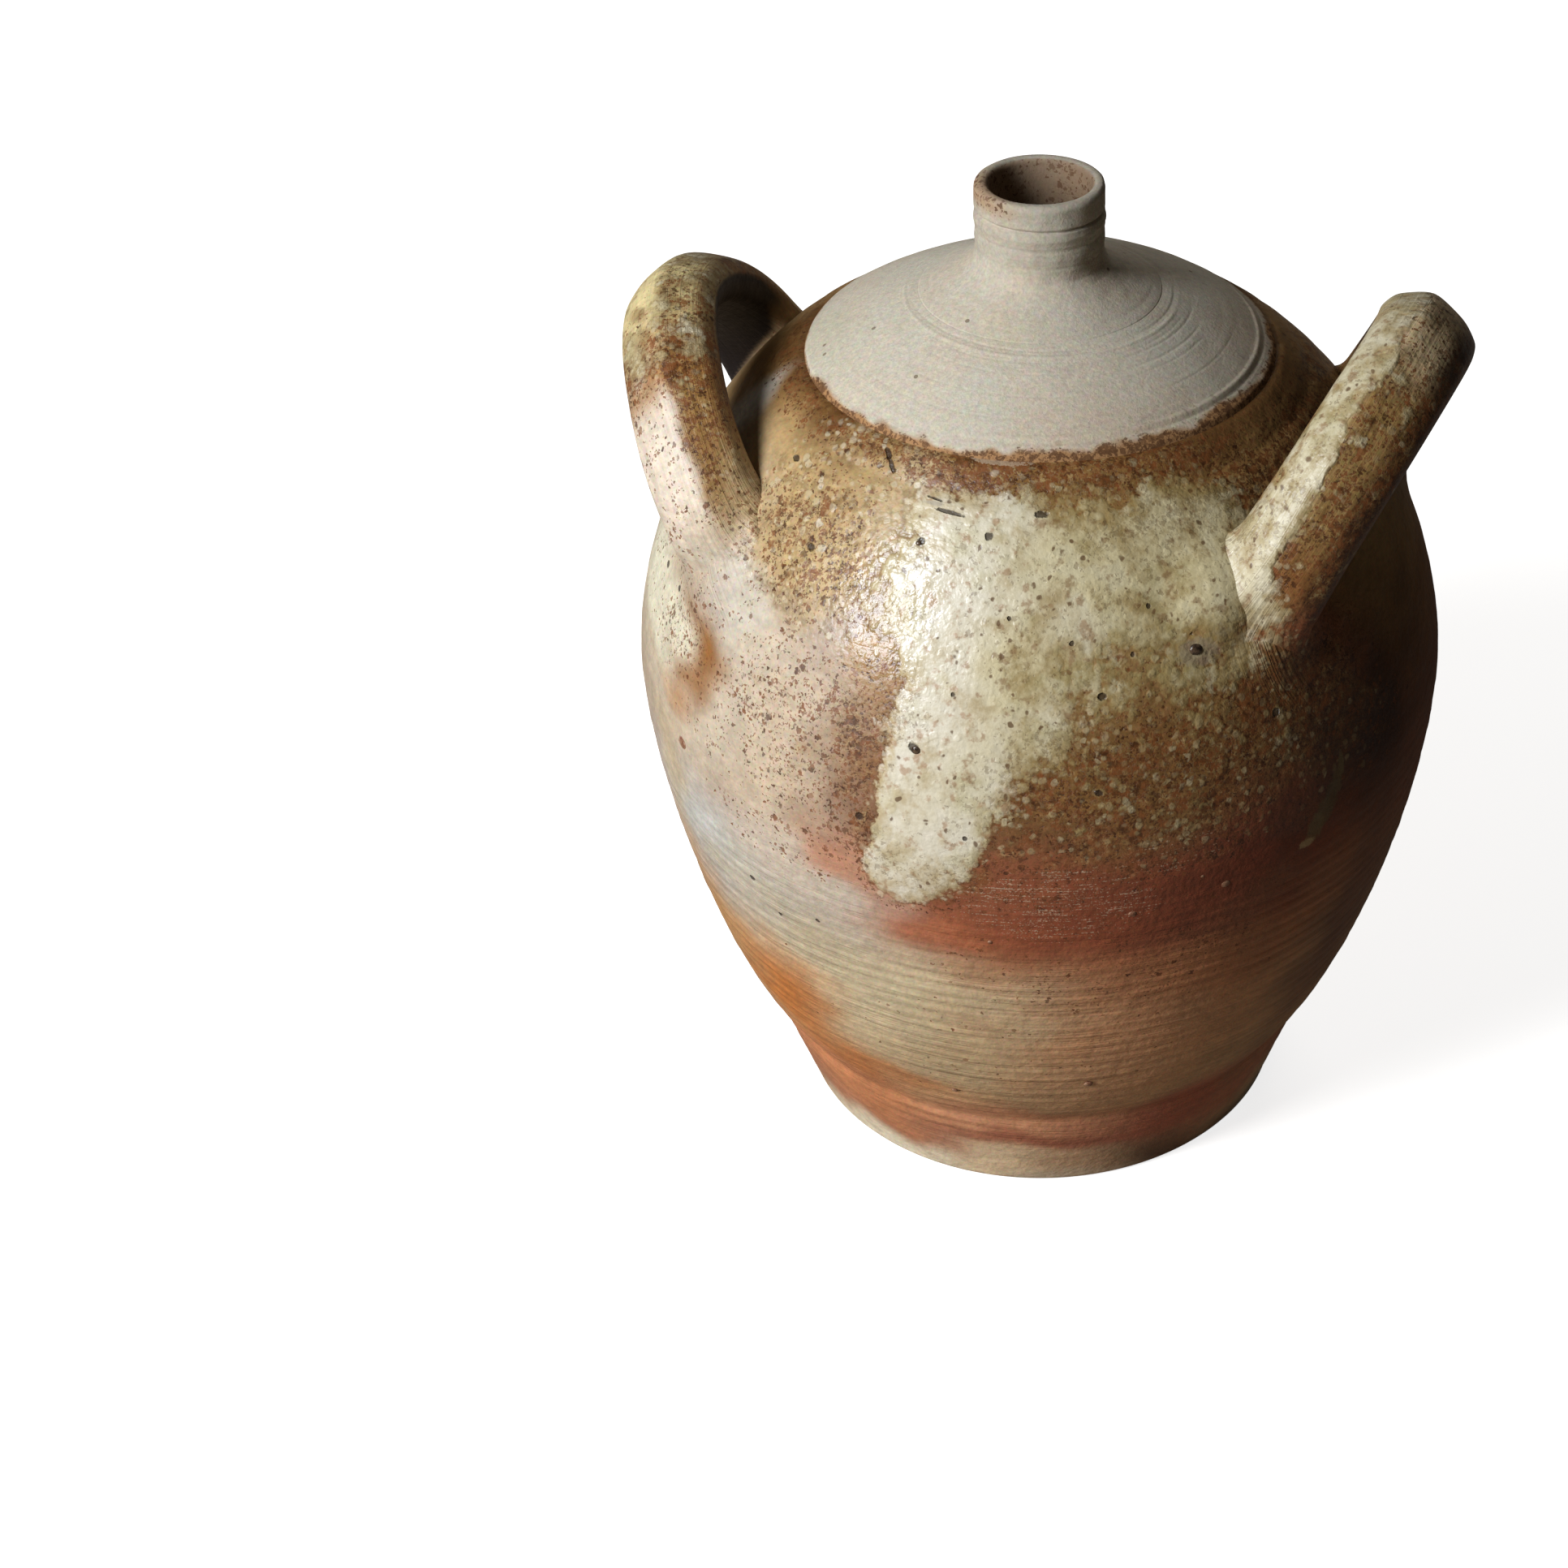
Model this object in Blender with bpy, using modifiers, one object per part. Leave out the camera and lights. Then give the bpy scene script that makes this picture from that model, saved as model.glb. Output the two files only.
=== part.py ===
"""Two-handled stoneware jug with a narrow neck.

Thrown body, domed shoulder, neck collar and two pulled strap handles, each luted to the next.
Metres, +Z up. The origin is the centre of the base, and the handles stand over +X and -X.
"""
import math

import bmesh
import bpy

# Foot and heel
FOOT_RADIUS = 0.0838
FOOT_ROUNDING = 0.003
HEEL_RADIUS = 0.0930
HEEL_RISE = 0.031
WAIST_RADIUS = 0.0946
WAIST_RISE = 0.008

# Belly, from the waist up to its widest line and on to the shoulder groove
BELLY_RADIUS = 0.1303
BELLY_RISE = 0.130
BELLY_START_SLOPE = math.radians(37)
LOWER_BELLY_FULLNESS = (0.24, 0.26)
SHOULDER_RISE = 0.106
SHOULDER_SLOPE = math.radians(55)
UPPER_BELLY_FULLNESS = (0.22, 0.42)

# Tooled groove where the dome is luted on
GROOVE_RADIUS = 0.0732
GROOVE_WIDTH = 0.0036
GROOVE_DEPTH = 0.0008

# Dome, up to the flange of the neck
DOME_RISE = 0.019
DOME_TOP_SLOPE = math.radians(67)
DOME_FULLNESS = (0.33, 0.33)

# Neck
FLANGE_RADIUS = 0.0372
FLANGE_SLOPE = math.radians(61)
FLARE_RISE = 0.0125
FLARE_FULLNESS = (0.35, 0.20)
NECK_RADIUS = 0.0198
NECK_LENGTH = 0.0224
NECK_WALL = 0.0043
COLLAR_LEDGE = 0.0065
LIP_ROUNDING = 0.0019
LIP_ROUNDING_LIMIT = 0.45
NECK_LINE_DROP = 0.0082
NECK_LINE_DEPTH = 0.0006
NECK_LINE_WIDTH = 0.0016

# Clay thickness
WALL = 0.008
FLOOR = 0.010
FLOOR_COVE = 0.010
DOME_WALL = 0.0065

# Handles
HANDLE_WIDTH = 0.0305
HANDLE_THICKNESS = 0.0165
HANDLE_RIDGE = 0.0022
HANDLE_SPREAD = math.radians(31)
HANDLE_ROOT_DROP = 0.036
HANDLE_LEAN = math.radians(25)
HANDLE_FORWARD = math.radians(8.75)
LEFT_HANDLE_REACH = 0.050
RIGHT_HANDLE_REACH = 0.063
ARCH_SQUARENESS = 1.75
STRAP_ROUNDNESS = 0.8
ROOT_FLARE = 0.30
ROOT_FLARE_LENGTH = 0.022
ROOT_TAIL = 0.030

# Gap at every luted seam
SEAM = 0.0003

# Fineness of the surfaces
TURN_STEPS = 64
CURVE_POINTS = 10
CORNER_STEPS = 3
ARCH_STEPS = 22
STRAP_STEPS = 16
MERGE_DISTANCE = 0.00001
SMOOTH_ANGLE = math.radians(40)

# Heights above the base
HEEL_HEIGHT = HEEL_RISE
WAIST_HEIGHT = HEEL_HEIGHT + WAIST_RISE
BELLY_HEIGHT = WAIST_HEIGHT + BELLY_RISE
GROOVE_HEIGHT = BELLY_HEIGHT + SHOULDER_RISE
FLANGE_HEIGHT = GROOVE_HEIGHT + DOME_RISE
NECK_START_HEIGHT = FLANGE_HEIGHT + FLARE_RISE
LIP_HEIGHT = NECK_START_HEIGHT + NECK_LENGTH

# Radii of the bore and of the dome's mouth under the collar
BORE_RADIUS = NECK_RADIUS - NECK_WALL
DOME_MOUTH_RADIUS = BORE_RADIUS + COLLAR_LEDGE

CLAY_COLOURS = {
    "thrown_body": (0.36, 0.24, 0.14, 1.0),
    "shoulder_dome": (0.46, 0.42, 0.35, 1.0),
    "neck_collar": (0.42, 0.38, 0.30, 1.0),
    "left_handle": (0.44, 0.34, 0.22, 1.0),
    "right_handle": (0.38, 0.28, 0.16, 1.0),
}
CLAY_ROUGHNESS = {
    "thrown_body": 0.32,
    "shoulder_dome": 0.75,
    "neck_collar": 0.70,
    "left_handle": 0.40,
    "right_handle": 0.35,
}


def clear_scene():
    for old in list(bpy.data.objects):
        bpy.data.objects.remove(old, do_unlink=True)


def new_collection(name):
    collection = bpy.data.collections.new(name)
    bpy.context.scene.collection.children.link(collection)
    return collection


def clay_material(name):
    material = bpy.data.materials.new(name + "_clay")
    material.use_nodes = True
    shader = material.node_tree.nodes["Principled BSDF"]
    shader.inputs["Base Color"].default_value = CLAY_COLOURS[name]
    shader.inputs["Roughness"].default_value = CLAY_ROUGHNESS[name]
    shader.inputs["Metallic"].default_value = 0.0
    return material


def along(point, slope, distance):
    """The point at a distance up the surface, where slope leans in from the vertical."""
    return (point[0] - math.sin(slope) * distance, point[1] + math.cos(slope) * distance)


def outward(point, slope, distance):
    """The point moved square to the surface, away from the clay."""
    return (point[0] + math.cos(slope) * distance, point[1] + math.sin(slope) * distance)


def sweep_curve(start, start_slope, end, end_slope, fullness):
    """Cubic curve between two points, given the surface's slope at each."""
    span = math.dist(start, end)
    first = along(start, start_slope, span * fullness[0])
    second = along(end, end_slope, -span * fullness[1])
    points = []
    for index in range(CURVE_POINTS + 1):
        t = index / CURVE_POINTS
        weights = ((1 - t) ** 3, 3 * (1 - t) ** 2 * t, 3 * (1 - t) * t ** 2, t ** 3)
        corners = (start, first, second, end)
        radius = sum(weight * corner[0] for weight, corner in zip(weights, corners))
        height = sum(weight * corner[1] for weight, corner in zip(weights, corners))
        points.append((radius, height))
    return points


def round_corner(centre, radius, from_angle, to_angle):
    points = []
    for index in range(CORNER_STEPS + 1):
        angle = from_angle + (to_angle - from_angle) * index / CORNER_STEPS
        points.append((centre[0] + radius * math.cos(angle), centre[1] + radius * math.sin(angle)))
    return points


def groove_bottom():
    return outward((GROOVE_RADIUS, GROOVE_HEIGHT), SHOULDER_SLOPE, -GROOVE_DEPTH)


def wall_outline():
    """Outer side of the body's wall, from the heel up to the groove's lower edge."""
    waist = (WAIST_RADIUS, WAIST_HEIGHT)
    belly = (BELLY_RADIUS, BELLY_HEIGHT)
    groove_edge = along((GROOVE_RADIUS, GROOVE_HEIGHT), SHOULDER_SLOPE, -GROOVE_WIDTH / 2)
    lower = sweep_curve(waist, -BELLY_START_SLOPE, belly, 0.0, LOWER_BELLY_FULLNESS)
    upper = sweep_curve(belly, 0.0, groove_edge, SHOULDER_SLOPE, UPPER_BELLY_FULLNESS)
    return [(HEEL_RADIUS, HEEL_HEIGHT)] + lower + upper[1:]


def foot_outline():
    """The rounded edge of the foot, from the base up."""
    centre = (FOOT_RADIUS - FOOT_ROUNDING, FOOT_ROUNDING)
    return round_corner(centre, FOOT_ROUNDING, -math.pi / 2, 0.0)


def dome_outline():
    """Outer side of the dome, from the groove's upper edge up to the neck's flange."""
    groove_edge = along((GROOVE_RADIUS, GROOVE_HEIGHT), SHOULDER_SLOPE, GROOVE_WIDTH / 2)
    flange_edge = (FLANGE_RADIUS, FLANGE_HEIGHT)
    return sweep_curve(groove_edge, SHOULDER_SLOPE, flange_edge, DOME_TOP_SLOPE, DOME_FULLNESS)


def neck_outline():
    """Outer side of the neck collar, from its flange over the lip to the bore."""
    flange_edge = (FLANGE_RADIUS, FLANGE_HEIGHT)
    neck_start = (NECK_RADIUS, NECK_START_HEIGHT)
    flare = sweep_curve(flange_edge, FLANGE_SLOPE, neck_start, 0.0, FLARE_FULLNESS)
    line_height = LIP_HEIGHT - NECK_LINE_DROP
    line = [
        (NECK_RADIUS, line_height - NECK_LINE_WIDTH / 2),
        (NECK_RADIUS - NECK_LINE_DEPTH, line_height),
        (NECK_RADIUS, line_height + NECK_LINE_WIDTH / 2),
    ]
    rounding = min(LIP_ROUNDING, NECK_WALL * LIP_ROUNDING_LIMIT)
    lip_height = LIP_HEIGHT - rounding
    outer_edge = round_corner((NECK_RADIUS - rounding, lip_height), rounding, 0.0, math.pi / 2)
    inner_edge = round_corner((BORE_RADIUS + rounding, lip_height), rounding, math.pi / 2, math.pi)
    return flare + line + outer_edge + inner_edge


def radius_at(outline, height):
    """Radius of an outline at a height, read along its straight stretches."""
    for lower, upper in zip(outline, outline[1:]):
        if lower[1] <= height <= upper[1]:
            share = (height - lower[1]) / (upper[1] - lower[1])
            return lower[0] + share * (upper[0] - lower[0])
    raise ValueError("height is off the outline")


def moved_square(outline, distance):
    """The outline moved square to itself by a distance."""
    moved = []
    for index, point in enumerate(outline):
        before = outline[max(index - 1, 0)]
        after = outline[min(index + 1, len(outline) - 1)]
        run = math.dist(before, after)
        normal = ((after[1] - before[1]) / run, (before[0] - after[0]) / run)
        moved.append((point[0] + normal[0] * distance, point[1] + normal[1] * distance))
    return moved


def turned(name, profile, collection, closed):
    """Turn a profile of (radius, height) points about the vertical axis."""
    mesh = bpy.data.meshes.new(name)
    shape = bmesh.new()
    points = [shape.verts.new((radius, 0.0, height)) for radius, height in profile]
    for first, second in zip(points, points[1:]):
        shape.edges.new((first, second))
    if closed:
        shape.edges.new((points[-1], points[0]))
    shape.to_mesh(mesh)
    shape.free()
    piece = bpy.data.objects.new(name, mesh)
    collection.objects.link(piece)
    screw = piece.modifiers.new("Turn", "SCREW")
    screw.angle = math.tau
    screw.steps = TURN_STEPS
    screw.render_steps = TURN_STEPS
    screw.use_merge_vertices = True
    screw.merge_threshold = MERGE_DISTANCE
    screw.use_smooth_shade = True
    return piece


def inner_wall():
    """Inside of the body, from the floor's centre up to the rim."""
    corner = (FOOT_RADIUS - WALL - FLOOR_COVE, FLOOR)
    rim_height = groove_bottom()[1]
    wall = moved_square(wall_outline(), -WALL)
    wall = [point for point in wall if FLOOR + FLOOR_COVE < point[1] < rim_height - SEAM]
    rim = (wall[-1][0] - math.tan(SHOULDER_SLOPE) * (rim_height - wall[-1][1]), rim_height)
    return [(0.0, FLOOR), corner] + wall[::2] + [rim]


def thrown_body(collection):
    outer = foot_outline() + wall_outline() + [groove_bottom()]
    profile = inner_wall() + outer[::-1] + [(0.0, 0.0)]
    return turned("thrown_body", profile, collection, closed=False)


def shoulder_dome(collection):
    rim_radius = inner_wall()[-1][0]
    bottom = groove_bottom()[1] + SEAM
    outer = [(groove_bottom()[0], bottom)] + dome_outline()
    ceiling = [
        (radius, height)
        for radius, height in moved_square(dome_outline(), -DOME_WALL)
        if height > bottom and DOME_MOUTH_RADIUS < radius < rim_radius
    ]
    mouth = [(DOME_MOUTH_RADIUS, FLANGE_HEIGHT - DOME_WALL), (DOME_MOUTH_RADIUS, FLANGE_HEIGHT)]
    inner = [(rim_radius, bottom)] + ceiling[::2] + mouth
    return turned("shoulder_dome", outer[::-1] + inner, collection, closed=True)


def neck_collar(collection):
    outline = neck_outline()
    seat = FLANGE_HEIGHT + SEAM
    outer = [(outline[0][0], seat)] + [point for point in outline[1:] if point[1] > seat]
    profile = outer[::-1] + [(BORE_RADIUS, seat)]
    return turned("neck_collar", profile, collection, closed=True)


def strap_section(width, thickness):
    """Oval strap with a soft ridge along its outer face, as (across, outward) points."""
    points = []
    for index in range(STRAP_STEPS):
        angle = math.tau * (index + 0.5) / STRAP_STEPS
        across = math.copysign(abs(math.cos(angle)) ** STRAP_ROUNDNESS, math.cos(angle)) * width / 2
        out = math.copysign(abs(math.sin(angle)) ** STRAP_ROUNDNESS, math.sin(angle)) * thickness / 2
        if out > 0:
            out += HANDLE_RIDGE * (1 - abs(across) / (width / 2))
        points.append((across, out))
    return points


def arch_path(half_chord, reach):
    """Centre line of a handle, as (along the wall, up) points with a straight tail at each root."""
    power = 2 / ARCH_SQUARENESS
    path = [(half_chord, -ROOT_TAIL), (half_chord, -ROOT_TAIL / 3)]
    for index in range(ARCH_STEPS + 1):
        angle = math.pi * index / ARCH_STEPS
        side = math.copysign(abs(math.cos(angle)) ** power, math.cos(angle)) * half_chord
        path.append((side, max(math.sin(angle), 0.0) ** power * reach))
    return path + [(-half_chord, -ROOT_TAIL / 3), (-half_chord, -ROOT_TAIL)]


def strap_mesh(name, half_chord, reach):
    """Loft the strap along its arch, wider and thicker towards the roots."""
    path = arch_path(half_chord, reach)
    shape = bmesh.new()
    rings = []
    for index, (side, up) in enumerate(path):
        before = path[max(index - 1, 0)]
        after = path[min(index + 1, len(path) - 1)]
        run = math.dist(before, after)
        outward_side = (after[1] - before[1]) / run
        outward_up = (before[0] - after[0]) / run
        flare = 1 + ROOT_FLARE * math.exp(-max(up, 0.0) / ROOT_FLARE_LENGTH)
        ring = []
        for across, out in strap_section(HANDLE_WIDTH * flare, HANDLE_THICKNESS * flare):
            ring.append(shape.verts.new((across, side + outward_side * out, up + outward_up * out)))
        rings.append(ring)
    for lower, upper in zip(rings, rings[1:]):
        for index in range(STRAP_STEPS):
            following = (index + 1) % STRAP_STEPS
            shape.faces.new((lower[index], lower[following], upper[following], upper[index]))
    shape.faces.new(rings[0][::-1])
    shape.faces.new(rings[-1])
    bmesh.ops.recalc_face_normals(shape, faces=shape.faces)
    mesh = bpy.data.meshes.new(name)
    shape.to_mesh(mesh)
    shape.free()
    mesh.shade_smooth()
    mesh.set_sharp_from_angle(angle=SMOOTH_ANGLE)
    return mesh


def strap_handle(name, azimuth, reach, wall_cutter, collection):
    """One handle, cut to the wall so that its roots sit on the shoulder."""
    root_height = GROOVE_HEIGHT - HANDLE_ROOT_DROP
    root_radius = radius_at(wall_outline(), root_height)
    half_chord = root_radius * math.sin(HANDLE_SPREAD)
    stand_off = root_radius * math.cos(HANDLE_SPREAD)
    handle = bpy.data.objects.new(name, strap_mesh(name, half_chord, reach))
    handle.location = (stand_off * math.cos(azimuth), stand_off * math.sin(azimuth), root_height)
    handle.rotation_euler = (0.0, HANDLE_LEAN, azimuth)
    collection.objects.link(handle)
    cut = handle.modifiers.new("Root", "BOOLEAN")
    cut.operation = "DIFFERENCE"
    cut.solver = "EXACT"
    cut.object = wall_cutter
    return handle


def wall_cutter(collection):
    """The jug's outer shape, a seam's width larger, which trims the handles' roots."""
    outline = moved_square(wall_outline() + dome_outline(), SEAM)
    profile = [(0.0, outline[-1][1])] + outline[::-1] + [(0.0, outline[0][1])]
    cutter = turned("wall_cutter", profile, collection, closed=False)
    cutter.hide_render = True
    cutter.display_type = "WIRE"
    return cutter


def build():
    clear_scene()
    parts = new_collection("stoneware_jug")
    cutters = new_collection("cutters")
    cutter = wall_cutter(cutters)
    thrown_body(parts)
    shoulder_dome(parts)
    neck_collar(parts)
    strap_handle("left_handle", math.pi + HANDLE_FORWARD, LEFT_HANDLE_REACH, cutter, parts)
    strap_handle("right_handle", -HANDLE_FORWARD, RIGHT_HANDLE_REACH, cutter, parts)
    for piece in parts.objects:
        piece.data.materials.append(clay_material(piece.name))


build()
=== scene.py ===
import math

import bmesh
import bpy
import numpy as np
from mathutils import Matrix, Vector


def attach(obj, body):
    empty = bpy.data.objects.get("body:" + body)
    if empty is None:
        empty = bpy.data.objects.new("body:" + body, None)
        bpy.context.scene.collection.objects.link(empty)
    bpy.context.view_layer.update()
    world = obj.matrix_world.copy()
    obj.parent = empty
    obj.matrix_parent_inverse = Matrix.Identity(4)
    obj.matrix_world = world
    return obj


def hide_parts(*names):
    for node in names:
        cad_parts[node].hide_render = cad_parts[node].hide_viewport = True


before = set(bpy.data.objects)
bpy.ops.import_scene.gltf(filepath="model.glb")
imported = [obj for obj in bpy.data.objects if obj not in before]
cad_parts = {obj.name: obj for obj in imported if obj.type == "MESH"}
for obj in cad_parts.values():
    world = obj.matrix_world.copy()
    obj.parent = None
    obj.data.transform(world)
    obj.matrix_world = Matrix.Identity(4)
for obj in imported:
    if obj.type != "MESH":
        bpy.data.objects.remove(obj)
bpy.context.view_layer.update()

# The view, in pixels of the photograph and in metres
PHOTO_PIXELS = 1932
FOCAL_PIXELS = 3615
JUG_AXIS_COLUMN = 1281.7
VIEW_AZIMUTH = math.radians(-77.75)
VIEW_DISTANCE = 0.8104
VIEW_HEIGHT = 0.6985
VIEW_TILT = math.radians(36.15)
SENSOR = 36.0

# Window light and the weaker window behind the jug
WINDOW_AZIMUTH = math.radians(-128)
WINDOW_ELEVATION = math.radians(31)
WINDOW_DISTANCE = 1.3
WINDOW_SIZE = (0.36, 0.76)
WINDOW_POWER = 19.6
BACK_AZIMUTH = math.radians(100)
BACK_ELEVATION = math.radians(14)
BACK_DISTANCE = 1.8
BACK_SIZE = (1.2, 1.0)
BACK_POWER = 11.5
ROOM_LIGHT = 0.030
ROOM_WARMTH = (1.0, 0.84, 0.66, 1.0)
LIGHTS_AIM = (0.0, 0.0, 0.16)
FLOOR_DISC = 9.0
WHITE = (1.0, 1.0, 1.0, 1.0)
FLOOR_GREY = (0.86, 0.86, 0.86, 1.0)

# Sizes of the jug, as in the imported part
FOOT_RADIUS = 0.0838
FOOT_ROUNDING = 0.003
HEEL = (0.0930, 0.031)
WAIST = (0.0946, 0.039)
BELLY = (0.1303, 0.169)
BELLY_START_SLOPE = math.radians(37)
LOWER_BELLY_FULLNESS = (0.24, 0.26)
SHOULDER_SLOPE = math.radians(55)
UPPER_BELLY_FULLNESS = (0.22, 0.42)
GROOVE = (0.0732, 0.275)
GROOVE_WIDTH = 0.0036
GROOVE_DEPTH = 0.0008
FLANGE = (0.0372, 0.294)
DOME_TOP_SLOPE = math.radians(67)
DOME_FULLNESS = (0.33, 0.33)
FLANGE_SLOPE = math.radians(61)
FLARE_FULLNESS = (0.35, 0.20)
NECK_START = (0.0198, 0.3065)
LIP_HEIGHT = 0.3289
LIP_ROUNDING = 0.0019
BORE_RADIUS = 0.0155
DOME_MOUTH_RADIUS = 0.022
WALL = 0.008
FLOOR = 0.010
DOME_WALL = 0.0065
SEAM = 0.0003
FLOOR_COVE = 0.010
DOME_EDGE = 276.0
DOME_RIDGE = (0.0670, 0.0010)
DOME_RIDGE_FURROW = (0.0686, 0.0009)

HANDLE_WIDTH = 0.0305
HANDLE_THICKNESS = 0.0165
HANDLE_SPREAD = math.radians(31)
HANDLE_ROOT_HEIGHT = 0.239
HANDLE_LEAN = math.radians(25)
HANDLE_FORWARD = math.radians(8.75)
LEFT_HANDLE_REACH = 0.050
RIGHT_HANDLE_REACH = 0.063
ARCH_SQUARENESS = 1.75
ROOT_FLARE = 0.12
ROOT_FLARE_LENGTH = 0.022
ROOT_TAIL = 0.030
ROOT_SUNK = 0.004
SKIRT_REACH = 0.007

MM = 0.001

# Fineness of the meshes
BODY_COLUMNS = 288
BODY_ROWS = 270
DOME_COLUMNS = 300
DOME_ROWS = 120
NECK_COLUMNS = 144
STRAP_ROWS = 170
STRAP_COLUMNS = 72
MERGE_DISTANCE = 0.00001


def srgb(red, green, blue):
    """A colour written as seen on a screen, 0 to 255, as linear light."""
    channels = []
    for value in (red, green, blue):
        value /= 255.0
        channels.append(value / 12.92 if value <= 0.04045 else ((value + 0.055) / 1.055) ** 2.4)
    return (channels[0], channels[1], channels[2], 1.0)


INSIDE_COLOUR = srgb(150, 96, 66)


# Outlines of the turned pieces

def along(point, slope, distance):
    return (point[0] - math.sin(slope) * distance, point[1] + math.cos(slope) * distance)


def outward(point, slope, distance):
    return (point[0] + math.cos(slope) * distance, point[1] + math.sin(slope) * distance)


def sweep_curve(start, start_slope, end, end_slope, fullness, count=60):
    span = math.dist(start, end)
    corners = (start, along(start, start_slope, span * fullness[0]),
               along(end, end_slope, -span * fullness[1]), end)
    points = []
    for index in range(count + 1):
        t = index / count
        weights = ((1 - t) ** 3, 3 * (1 - t) ** 2 * t, 3 * (1 - t) * t ** 2, t ** 3)
        points.append((sum(w * c[0] for w, c in zip(weights, corners)),
                       sum(w * c[1] for w, c in zip(weights, corners))))
    return points


def round_corner(centre, radius, from_angle, to_angle, count=6):
    angles = [from_angle + (to_angle - from_angle) * index / count for index in range(count + 1)]
    return [(centre[0] + radius * math.cos(a), centre[1] + radius * math.sin(a)) for a in angles]


def evenly(points, count):
    """The same line with points spread evenly along it."""
    line = np.array(points)
    steps = np.hypot(*np.diff(line, axis=0).T)
    travelled = np.concatenate([[0.0], np.cumsum(steps)])
    wanted = np.linspace(0.0, travelled[-1], count + 1)
    return [tuple(p) for p in np.stack([np.interp(wanted, travelled, line[:, i]) for i in (0, 1)], axis=1)]


def moved_square(outline, distance):
    moved = []
    for index, point in enumerate(outline):
        before = outline[max(index - 1, 0)]
        after = outline[min(index + 1, len(outline) - 1)]
        run = math.dist(before, after)
        moved.append((point[0] + (after[1] - before[1]) / run * distance,
                      point[1] + (before[0] - after[0]) / run * distance))
    return moved


def groove_bottom():
    return outward(GROOVE, SHOULDER_SLOPE, -GROOVE_DEPTH)


def wall_outline():
    groove_edge = along(GROOVE, SHOULDER_SLOPE, -GROOVE_WIDTH / 2)
    lower = sweep_curve(WAIST, -BELLY_START_SLOPE, BELLY, 0.0, LOWER_BELLY_FULLNESS)
    upper = sweep_curve(BELLY, 0.0, groove_edge, SHOULDER_SLOPE, UPPER_BELLY_FULLNESS)
    foot = round_corner((FOOT_RADIUS - FOOT_ROUNDING, FOOT_ROUNDING), FOOT_ROUNDING, -math.pi / 2, 0.0)
    return foot + [HEEL] + lower + upper[1:]


def dome_outline():
    groove_edge = along(GROOVE, SHOULDER_SLOPE, GROOVE_WIDTH / 2)
    return sweep_curve(groove_edge, SHOULDER_SLOPE, FLANGE, DOME_TOP_SLOPE, DOME_FULLNESS)


WALL_LINE = np.array(wall_outline() + dome_outline())


def wall_radius(height):
    return np.interp(height, WALL_LINE[:, 1], WALL_LINE[:, 0])


def wall_lean(height):
    """Angle of the wall's outward normal above level, at a height."""
    step = 0.0015
    run = wall_radius(height + step) - wall_radius(height - step)
    return np.arctan2(-run, 2 * step)


def wall_normal(azimuth, height):
    """The wall's outward direction, at azimuths in degrees and heights in metres."""
    lean, turn = wall_lean(height), np.radians(azimuth)
    return np.stack([np.cos(lean) * np.cos(turn), np.cos(lean) * np.sin(turn), np.sin(lean)], axis=-1)


# Firing, over azimuth in degrees and height in mm

def turn_gap(azimuth, centre):
    return (azimuth - centre + 180.0) % 360.0 - 180.0


def waves(points, length, seed):
    """Slow seamless waves between about -1 and 1, of a given length in metres."""
    chance = np.random.default_rng(seed)
    total = np.zeros(len(points))
    for _ in range(9):
        direction = chance.normal(size=3)
        direction /= np.linalg.norm(direction)
        pace = math.tau / (length * chance.uniform(0.7, 1.5))
        total += np.sin(points @ direction * pace + chance.uniform(0, math.tau))
    return total / 3.2


def lobe(azimuth, height, centre, reach, power=2.0):
    """1 at the centre of a patch, 0 at its rim and below 0 outside."""
    across = np.abs(turn_gap(azimuth, centre[0])) / reach[0]
    up = np.abs(height - centre[1]) / reach[1]
    return 1.0 - (across ** power + up ** power) ** (1.0 / power)


def soft(value):
    value = np.clip(value, 0.0, 1.0)
    return value * value * (3.0 - 2.0 * value)


def patches(table, azimuth, height, steepness, growth=1.0, power=2.0):
    """The soft weight of each patch in a table, and what the table says of it."""
    for centre, level, width, tall, *rest in table:
        reach = (width * growth, tall * growth)
        yield soft(steepness * lobe(azimuth, height, (centre, level), reach, power)), rest


# Ground colour of the wall by height, all round
GROUND = (
    (0, (206, 192, 168)),
    (12, (200, 170, 138)),
    (24, (180, 126, 98)),
    (40, (176, 124, 92)),
    (56, (190, 156, 118)),
    (108, (190, 160, 122)),
    (128, (180, 134, 98)),
    (148, (148, 92, 66)),
    (180, (126, 82, 54)),
    (212, (136, 98, 58)),
    (245, (176, 146, 98)),
    (264, (158, 122, 74)),
    (275, (108, 76, 40)),
)

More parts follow.
